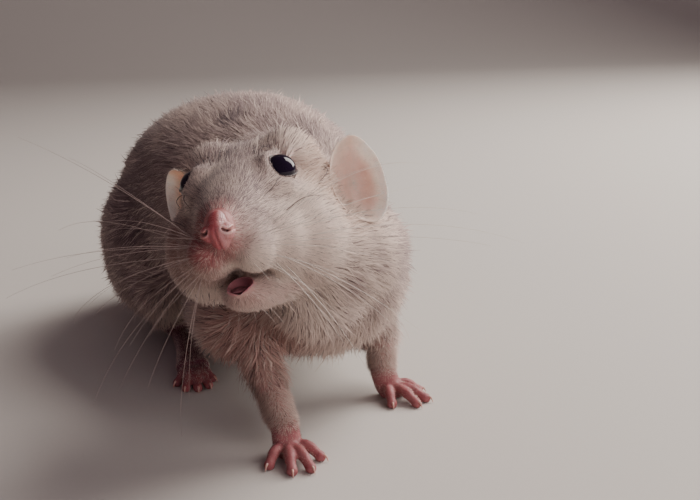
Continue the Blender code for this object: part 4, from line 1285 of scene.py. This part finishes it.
# The slit of a nostril, seen from the front: out from the middle, up, and half width
NOSTRIL = ((1.55, 0.45, 0.28), (1.95, 0.05, 0.40), (2.5, -0.12, 0.46),
           (3.0, 0.02, 0.42), (3.4, 0.4, 0.3), (3.6, 0.8, 0.2))


def make_nose(material):
    """The bare pad with its curved nostrils, grained and cleft in the middle."""
    forms = [ball(NOSE, HEAD_FRAME), ball(NOSE_STEM, HEAD_FRAME)]
    forms += [ball(NOSE_WING, HEAD_FRAME, side) for _, side in SIDES]
    nose = mesh_object("nose_pad", *joined(forms))
    remesh = nose.modifiers.new("remesh", "REMESH")
    remesh.mode, remesh.voxel_size = "VOXEL", NOSE_VOXEL * MM
    apply_modifiers(nose)
    points, ends = vertex_places(nose), edge_ends(nose)
    points = relaxed(points, ends, 22, np.full(len(points), 0.5))
    set_places(nose, points)
    normals = vertex_normals(nose)
    local = in_head(points)
    dent, rim = np.zeros(len(points)), np.zeros(len(points))
    path = np.array([between(NOSTRIL, t) for t in np.linspace(0, 1, 22)])
    front = rise(local[:, 1], -20.6, -21.4)
    for _, side in SIDES:
        for x, z, size in path:
            off = np.hypot(local[:, 0] - side * x, local[:, 2] - z)
            dent = np.maximum(dent, 1.1 * rise(off, size, size * 0.3) * front)
            rim = np.maximum(rim, rise(off, size + 0.55, size + 0.1) * front)
    cleft = 0.25 * rise(np.abs(local[:, 0]), 0.6, 0.0) * rise(local[:, 2], 1.4, -0.8)
    points = points + normals * (0.16 * rim * (dent < 0.2) - dent - cleft)[:, None]
    set_places(nose, points)
    # The nose's own pink-red, painted deeper on its far, shaded side and paler on its near, lit side, with
    # a painted highlight along the top: painted shade and painted light
    near = rise(local[:, 0], 0.0, 1.7)
    colour = mixed(plain(NOSE_RED_SHADED, len(points)), NOSE_PINK_LIT, near)
    colour = mixed(colour, NOSE_HIGHLIGHT, rise(local[:, 2], 0.6, 2.4) * 0.8 * near)
    # A pale rim round each nostril, brighter on the near side: partly painted highlight
    colour = mixed(colour, NOSE_RIM_AND_SHEEN, rim * (0.25 + 0.55 * near))
    # Painted shade: a darker red along the cleft in the middle
    colour = mixed(colour, NOSE_CLEFT_SHADE, rise(np.abs(local[:, 0] + 0.3), 1.3, 0.2) * 0.6)
    # Painted shade: the nostrils darkened inside
    colour = mixed(colour, NOSTRIL_SHADE, rise(dent, 0.2, 0.7) * (0.6 + 0.4 * near))
    set_colour(nose.data, colour)
    nose.data.shade_smooth()
    dress(nose, material, "nose", "nose")


def make_tongue(material):
    """The tip of the tongue in the open mouth, with its middle crease."""
    points, faces = ball(TONGUE, HEAD_FRAME)
    local = in_head(points)
    local[:, 2] -= 0.35 * np.exp(-((local[:, 0] / 0.5) ** 2)) * (local[:, 2] > TONGUE_CREASE)
    tongue = mesh_object("tongue_tip", moved(local, HEAD_FRAME), faces)
    dress(tongue, material, "nose", "tongue")


# Claws, tail and whiskers

def taper(route, radii, place=RAT_FRAME, rings=10, sides=8):
    """A claw or a hair: a thin tube with short ends."""
    return tube(route, radii, place, rings, sides, dome=2)


CLAW_RADII = (0.36, 0.27, 0.06)


def make_claws(material):
    """A claw over the tip of each digit, bent down to the floor."""
    made, specs = [], []
    for name, side in SIDES:
        specs += forepaw_digits(name, side) + hind_digits(name, side)
    for base, heading, length, radius in specs:
        tip = base + heading * (length + radius * 0.5)
        start = Vector((tip.x, tip.y, radius * 1.2))
        middle = start + heading * 0.7 + Vector((0, 0, -0.1))
        end = start + heading * 1.35
        end.z = 0.2
        made.append(taper((start - heading * 0.4, middle, end), CLAW_RADII))
    claws = mesh_object("claws", *joined(made))
    dress(claws, material, "paw")


def tail_radius(t):
    """Half the tail's thickness at t, from 0 at its root to 1 at its tip."""
    return TAIL_BASE_RADIUS + (TAIL_TIP_RADIUS - TAIL_BASE_RADIUS) * t**0.85


def tail_point(t):
    """The middle of the tail at t, on the floor except at its root."""
    x, y, lift = between(TAIL_ROUTE, t)
    return np.array((x, y, max(lift, 0.0) + tail_radius(t) - SOLE_SINK))


TAIL_SCALE_ROWS = 200


def make_tail(material):
    """The tail with its rows of scales, each row a low step."""
    sides, per_row = 28, 4
    rings = TAIL_SCALE_ROWS * per_row + 1
    marks = np.linspace(0.0, 1.0, rings)
    centres = np.array([tail_point(t) for t in marks])
    along = unit(np.gradient(centres, axis=0))
    across = unit(np.cross(along, (0, 0, 1)))
    up = np.cross(across, along)
    a = np.arange(sides) * math.tau / sides
    points, tones = [], []
    for i, t in enumerate(marks):
        phase = (i % per_row) / per_row
        radius = tail_radius(t) * (0.965 + 0.05 * phase) * (1.0 if i < rings - 1 else 0.3)
        ring = centres[i] + radius * (np.cos(a)[:, None] * across[i] + np.sin(a)[:, None] * up[i])
        points.append(ring)
        tones.append(np.full(sides, phase))
    points = np.concatenate(points)
    points[:, 2] = np.maximum(points[:, 2], LOWEST_SKIN)
    tail = mesh_object("tail", points, ring_faces(rings, sides))
    shade = np.concatenate(tones)
    colour = mixed(plain(TAIL_TONE, len(points)), TAIL_STEP, 0.8 * (shade == 0))
    grey = rise(noise(points, 9.0, 41), -0.2, 0.5) * rise(points[:, 2], 2.0, 6.0)
    colour = mixed(colour, TAIL_GREY, 0.5 * grey)
    set_colour(tail.data, colour)
    dress(tail, material, "tail", "tail_1", "tail_2", "tail_3", "tail_4")


def make_tail_hair(unwrap, material):
    """Short sparse hairs that rise from between the tail's rows of scales."""
    rng = np.random.default_rng(TAIL_SEED)
    t = rng.uniform(0.06, 0.995, TAIL_HAIRS)
    a = rng.uniform(0, math.tau, TAIL_HAIRS)
    centres = np.array([tail_point(x) for x in t])
    behind = np.array([tail_point(x - 0.01) for x in t])
    along = unit(np.array([tail_point(min(x + 0.01, 1.0)) for x in t]) - behind)
    across = unit(np.cross(along, (0, 0, 1)))
    up = np.cross(across, along)
    normals = np.cos(a)[:, None] * across + np.sin(a)[:, None] * up
    radius = np.array([tail_radius(x) for x in t])
    roots = centres + normals * radius[:, None] * 0.97
    keep = roots[:, 2] > 0.4
    roots, normals, along = roots[keep], normals[keep], along[keep]
    n = len(roots)
    lines = spines(roots, normals, along, rng.uniform(1.2, 2.0, n), np.full(n, 0.5), np.full(n, 0.1),
                   np.full(n, 0.03), rng.uniform(0, 6, n), MARKS[2])
    tone = plain(TAIL_HAIR, n) * rng.uniform(0.7, 1.2, n)[:, None]
    bake = unwrapped(roots, unwrap)
    hair_pieces("tail_hair", lines, normals, np.full(n, 0.10), tone, tone, bake, material, "coat")


# Each row of whiskers: its rise in degrees, and its reach
WHISKER_ROWS = ((33.0, 44.0), (16.0, 53.0), (1.0, 56.0), (-27.0, 46.0), (-50.0, 36.0))
WHISKER_COLUMNS = 5
# Whiskers on the left are paler and those on the right darker: painted light and painted shade for the lit
# and the shaded side
WHISKER_LIT_AND_SHADED = {1.0: (0.72, 0.64, 0.58), -1.0: (0.36, 0.27, 0.25)}
WHISKER_REACH = {1.0: 1.0, -1.0: 1.32}  # those on the right are spread wider and reach further


def whisker_line(root, heading, length, droop, curl, turn):
    """A hair that bends down and back, and may curl at its tip."""
    route = []
    place, direction = Vector(root), Vector(heading).normalized()
    steps = 18
    for i in range(steps + 1):
        route.append(tuple(place))
        t = i / steps
        bend = Vector((0.0, 0.35, -1.0)) * (droop * (0.4 + t)) / steps
        sideways = direction.cross(Vector((0, 0, 1))) * turn / steps
        if t > 0.65:
            sideways += direction.cross(Vector((0, 0, 1))) * curl * 3.0 * (t - 0.65) / steps
            bend += Vector((0, 0, 1)) * curl * 1.2 * (t - 0.65) / steps
        direction = (direction + bend + sideways).normalized()
        place = place + direction * length / steps
    return route


def make_whiskers(material):
    """Long fine whiskers in rows, a few with curled tips, and short ones under the chin."""
    rng = np.random.default_rng(WHISKER_SEED)
    made, tones = [], []
    for _, side in SIDES:
        for row, (lift, reach) in enumerate(WHISKER_ROWS):
            for column in range(WHISKER_COLUMNS):
                back = column / (WHISKER_COLUMNS - 1)
                root = (side * (5.0 + 3.2 * back), -19.6 + 8.6 * back, -1.0 - 1.55 * row - 0.5 * back)
                sweep = math.radians(-14 + 46 * back + rng.uniform(-8, 8))
                rising = math.radians(lift * (0.7 + 0.4 * back) + rng.uniform(-9, 9))
                heading = (side * math.cos(rising) * math.cos(sweep), math.cos(rising) * math.sin(sweep),
                           math.sin(rising))
                length = reach * (0.18 + 0.80 * back) * rng.uniform(0.8, 1.05) * WHISKER_REACH[side]
                curl = rng.choice((0.0, 0.0, 1.5)) * rng.uniform(0.5, 1.8)
                droop, turn = rng.uniform(0.15, 0.9), rng.uniform(-0.35, 0.35)
                line = whisker_line(root, heading, length, droop, curl, turn)
                thick = 0.05 + 0.03 * back
                radii = (thick, thick * 0.8, thick * 0.5, 0.02)
                made.append(taper(line, radii, HEAD_FRAME, rings=26, sides=5))
        for k in range(3):
            root = (side * (1.4 + 1.5 * k), -13.6 + 1.6 * k, -16.8 - 0.4 * k)
            heading = (side * rng.uniform(0.1, 0.8), rng.uniform(-0.8, 0.1), -0.8)
            line = whisker_line(root, heading, rng.uniform(3, 5), 0.5, 0.0, 0.3)
            made.append(taper(line, (0.035, 0.03, 0.012), HEAD_FRAME, rings=10, sides=4))
        grown = sum(len(points) for points, _ in made) - sum(len(tone) for tone in tones)
        # each side's whiskers get their lit or shaded colour
        tones.append(plain(WHISKER_LIT_AND_SHADED[side], grown))
    whiskers = mesh_object("whiskers", *joined(made))
    set_colour(whiskers.data, np.concatenate(tones))
    dress(whiskers, material, "coat")


# Long dark hairs that lie on the face: where each starts and ends on the left side of the head
FACE_HAIRS = (
    ((4.3, 0.5, 14.8), (3.2, 5.5, 17.6)),
    ((10.3, -4.6, 8.6), (7.0, -13.7, 4.4)),
    ((9.3, -7.6, 0.0), (15.6, 2.4, 1.2)),
    ((17.3, 12.3, 9.9), (14.4, 4.2, 4.4)),
    ((5.0, -1.5, 14.2), (7.5, 3.5, 17.2)),
)


def make_face_hairs(skin, material):
    """Long dark hairs over the brows and cheeks, a little way off the skin."""
    skin_faces = [tuple(f.vertices) for f in skin.data.polygons]
    tree = BVHTree.FromPolygons(vertex_places(skin).tolist(), skin_faces)
    made = []
    for _, side in SIDES:
        for start, end in FACE_HAIRS:
            route = []
            for t in np.linspace(0, 1, 9):
                aim = HEAD_FRAME @ Vector(on_side(start, side)).lerp(Vector(on_side(end, side)), t)
                place, normal, _, _ = tree.find_nearest(aim)
                route.append(tuple(place + normal * (0.1 + 1.9 * math.sin(math.pi * min(t, 0.75)))))
            made.append(taper(route, (0.11, 0.09, 0.03), rings=22, sides=5))
    hairs = mesh_object("face_hairs", *joined(made))
    dress(hairs, material, "coat")


# Stage

CAMERA_PLACE = (-81.2, -252.5, 103.3)
CAMERA_TURN, CAMERA_TILT, CAMERA_ROLL = 20.0, 14.0, 1.7
CAMERA_LENS = 1100 / 700 * 36


def make_camera():
    """The camera, at the height, angle and field of view that the rat is seen from."""
    turn, tilt = math.radians(CAMERA_TURN), math.radians(CAMERA_TILT)
    ahead = Vector((math.sin(turn) * math.cos(tilt), math.cos(turn) * math.cos(tilt), -math.sin(tilt)))
    right = Vector((math.cos(turn), -math.sin(turn), 0))
    up = right.cross(ahead)
    camera = bpy.data.objects.new("camera", bpy.data.cameras.new("camera"))
    camera.data.lens, camera.data.sensor_width = CAMERA_LENS, 36
    camera.data.clip_start = 0.01
    bpy.context.scene.collection.objects.link(camera)
    spin = Matrix((right, up, -ahead)).transposed().to_4x4()
    spin = spin @ Matrix.Rotation(-math.radians(CAMERA_ROLL), 4, "Z")
    camera.matrix_world = Matrix.Translation((Vector(CAMERA_PLACE) + Vector(SHIFT)) * MM) @ spin
    bpy.context.scene.camera = camera


# Soft lights: name, place in metres, size, power, colour, and whether the eyes reflect it
LIGHTS = (
    ("key", (0.62, 0.10, 0.52), (0.45, 0.8), 13, (1.0, 0.93, 0.86), True),
    ("fill", (-0.7, -0.8, 0.75), (0.9, 0.9), 0.2, (1.0, 0.74, 0.86), False),
    ("front", (0.3, -0.95, 0.36), (0.9, 0.9), 6.3, (1.0, 0.93, 0.90), False),
)
LIT_PLACE = (0, -0.05, 0.04)
FLOOR_TONE, STUDIO_TONE, STUDIO_STRENGTH = (0.58, 0.55, 0.52), (0.92, 0.62, 0.74), 0.11


def area_light(name, place, size, power, colour, seen_in_eyes):
    """A soft light, turned to the rat."""
    light = bpy.data.lights.new(name, "AREA")
    light.shape, light.energy, light.color = "RECTANGLE", power, colour
    light.size, light.size_y = size
    obj = bpy.data.objects.new(name, light)
    obj.location, obj.visible_glossy = place, seen_in_eyes
    target = Vector(LIT_PLACE)
    obj.rotation_euler = (target - Vector(place)).to_track_quat("-Z", "Y").to_euler()
    bpy.context.scene.collection.objects.link(obj)


def make_stage():
    """A pale floor that curves up behind the rat into a plain backdrop, and soft lights."""
    width, front, back, bend = 4000.0, -1500.0, 900.0, 500.0
    profile = [(front, 0.0), (back, 0.0)]
    for a in np.linspace(0.1, math.pi / 2, 12):
        profile.append((back + bend * math.sin(a), bend * (1 - math.cos(a))))
    profile.append((back + bend, 3000.0))
    turn = np.array(Matrix.Rotation(-math.radians(CAMERA_TURN), 3, "Z"))
    points = [turn @ np.array((x, y, z)) for y, z in profile for x in (-width, width)]
    faces = [(2 * k, 2 * k + 1, 2 * k + 3, 2 * k + 2) for k in range(len(profile) - 1)]
    floor = mesh_object("floor", np.array(points) - np.array((SHIFT[0], SHIFT[1], 0)), faces)
    floor.data.materials.append(surface("floor", FLOOR_TONE, 0.75, spread=0.02))
    for light in LIGHTS:
        area_light(*light)
    world = bpy.data.worlds.new("studio")
    world.use_nodes = True
    sky = world.node_tree.nodes["Background"]
    sky.inputs["Color"].default_value = (*STUDIO_TONE, 1)
    sky.inputs["Strength"].default_value = STUDIO_STRENGTH
    bpy.context.scene.world = world


def main():
    skin = make_skin()
    where = vertex_places(skin)
    set_colour(skin.data, skin_tone(where))
    unwrap = skin_unwrap(skin)
    flesh = surface("skin", roughness=0.55, attribute=True, spread=0.12,
                    bump=(("grain", 1500, 0.25), ("cells", 2600, 0.2)),
                    Subsurface_Weight=0.15, Subsurface_Scale=0.002)
    hair = surface("coat", roughness=0.72, attribute=True, spread=0.10,
                   Sheen_Weight=0.15, Sheen_Roughness=0.5, Specular_IOR_Level=0.3)
    covered = ["head", "neck", "lower_jaw", "muzzle", "torso"]
    limbs = ("foreleg_", "hind_leg_", "forepaw_", "hind_foot_")
    covered += [part + name for name, _ in SIDES for part in limbs]
    dress(skin, flesh, "paw", *covered)
    make_coat(skin, unwrap, hair)
    wet = surface("eye", (0.010, 0.005, 0.016), 0.06, spread=0.05, IOR=1.42)
    lid_skin = surface("lids", roughness=0.45, attribute=True, spread=0.08,
                       bump=(("grain", 3000, 0.3),))
    ear_skin = surface("ear", roughness=0.6, attribute=True, spread=0.08,
                       bump=(("grain", 1800, 0.3),), Subsurface_Weight=0.35,
                       Subsurface_Scale=0.0012, Subsurface_Radius=(1.0, 0.6, 0.5), Sheen_Weight=0.1)
    for name, side in SIDES:
        make_eyeball(name, side, wet)
        make_lids(name, side, lid_skin)
        lines, normals, width, tone = make_ear(name, side, ear_skin)
        bake = unwrapped(lines[:, 0], unwrap)
        hair_pieces("ear_hair_" + name, lines, normals, width, tone, tone, bake, hair, "ear")
    moist = surface("nose", roughness=0.32, attribute=True, spread=0.08, Subsurface_Weight=0.25,
                    Subsurface_Scale=0.0015, bump=(("cells", 3200, 0.5),))
    make_nose(moist)
    make_tongue(surface("tongue", (0.17, 0.06, 0.075), 0.45, spread=0.1,
                        bump=(("cells", 3600, 0.5),)))
    make_claws(surface("claw", (0.58, 0.36, 0.31), 0.35, spread=0.1,
                       Subsurface_Weight=0.2, Subsurface_Scale=0.001))
    scales = surface("tail", roughness=0.6, attribute=True, spread=0.12, bump=(("cells", 1300, 0.5),))
    make_tail(scales)
    make_tail_hair(unwrap, hair)
    make_whiskers(surface("whisker", roughness=0.4, attribute=True, spread=0.05))
    make_face_hairs(skin, surface("dark hair", (0.09, 0.06, 0.06), 0.5, spread=0.05))
    make_camera()
    make_stage()


main()
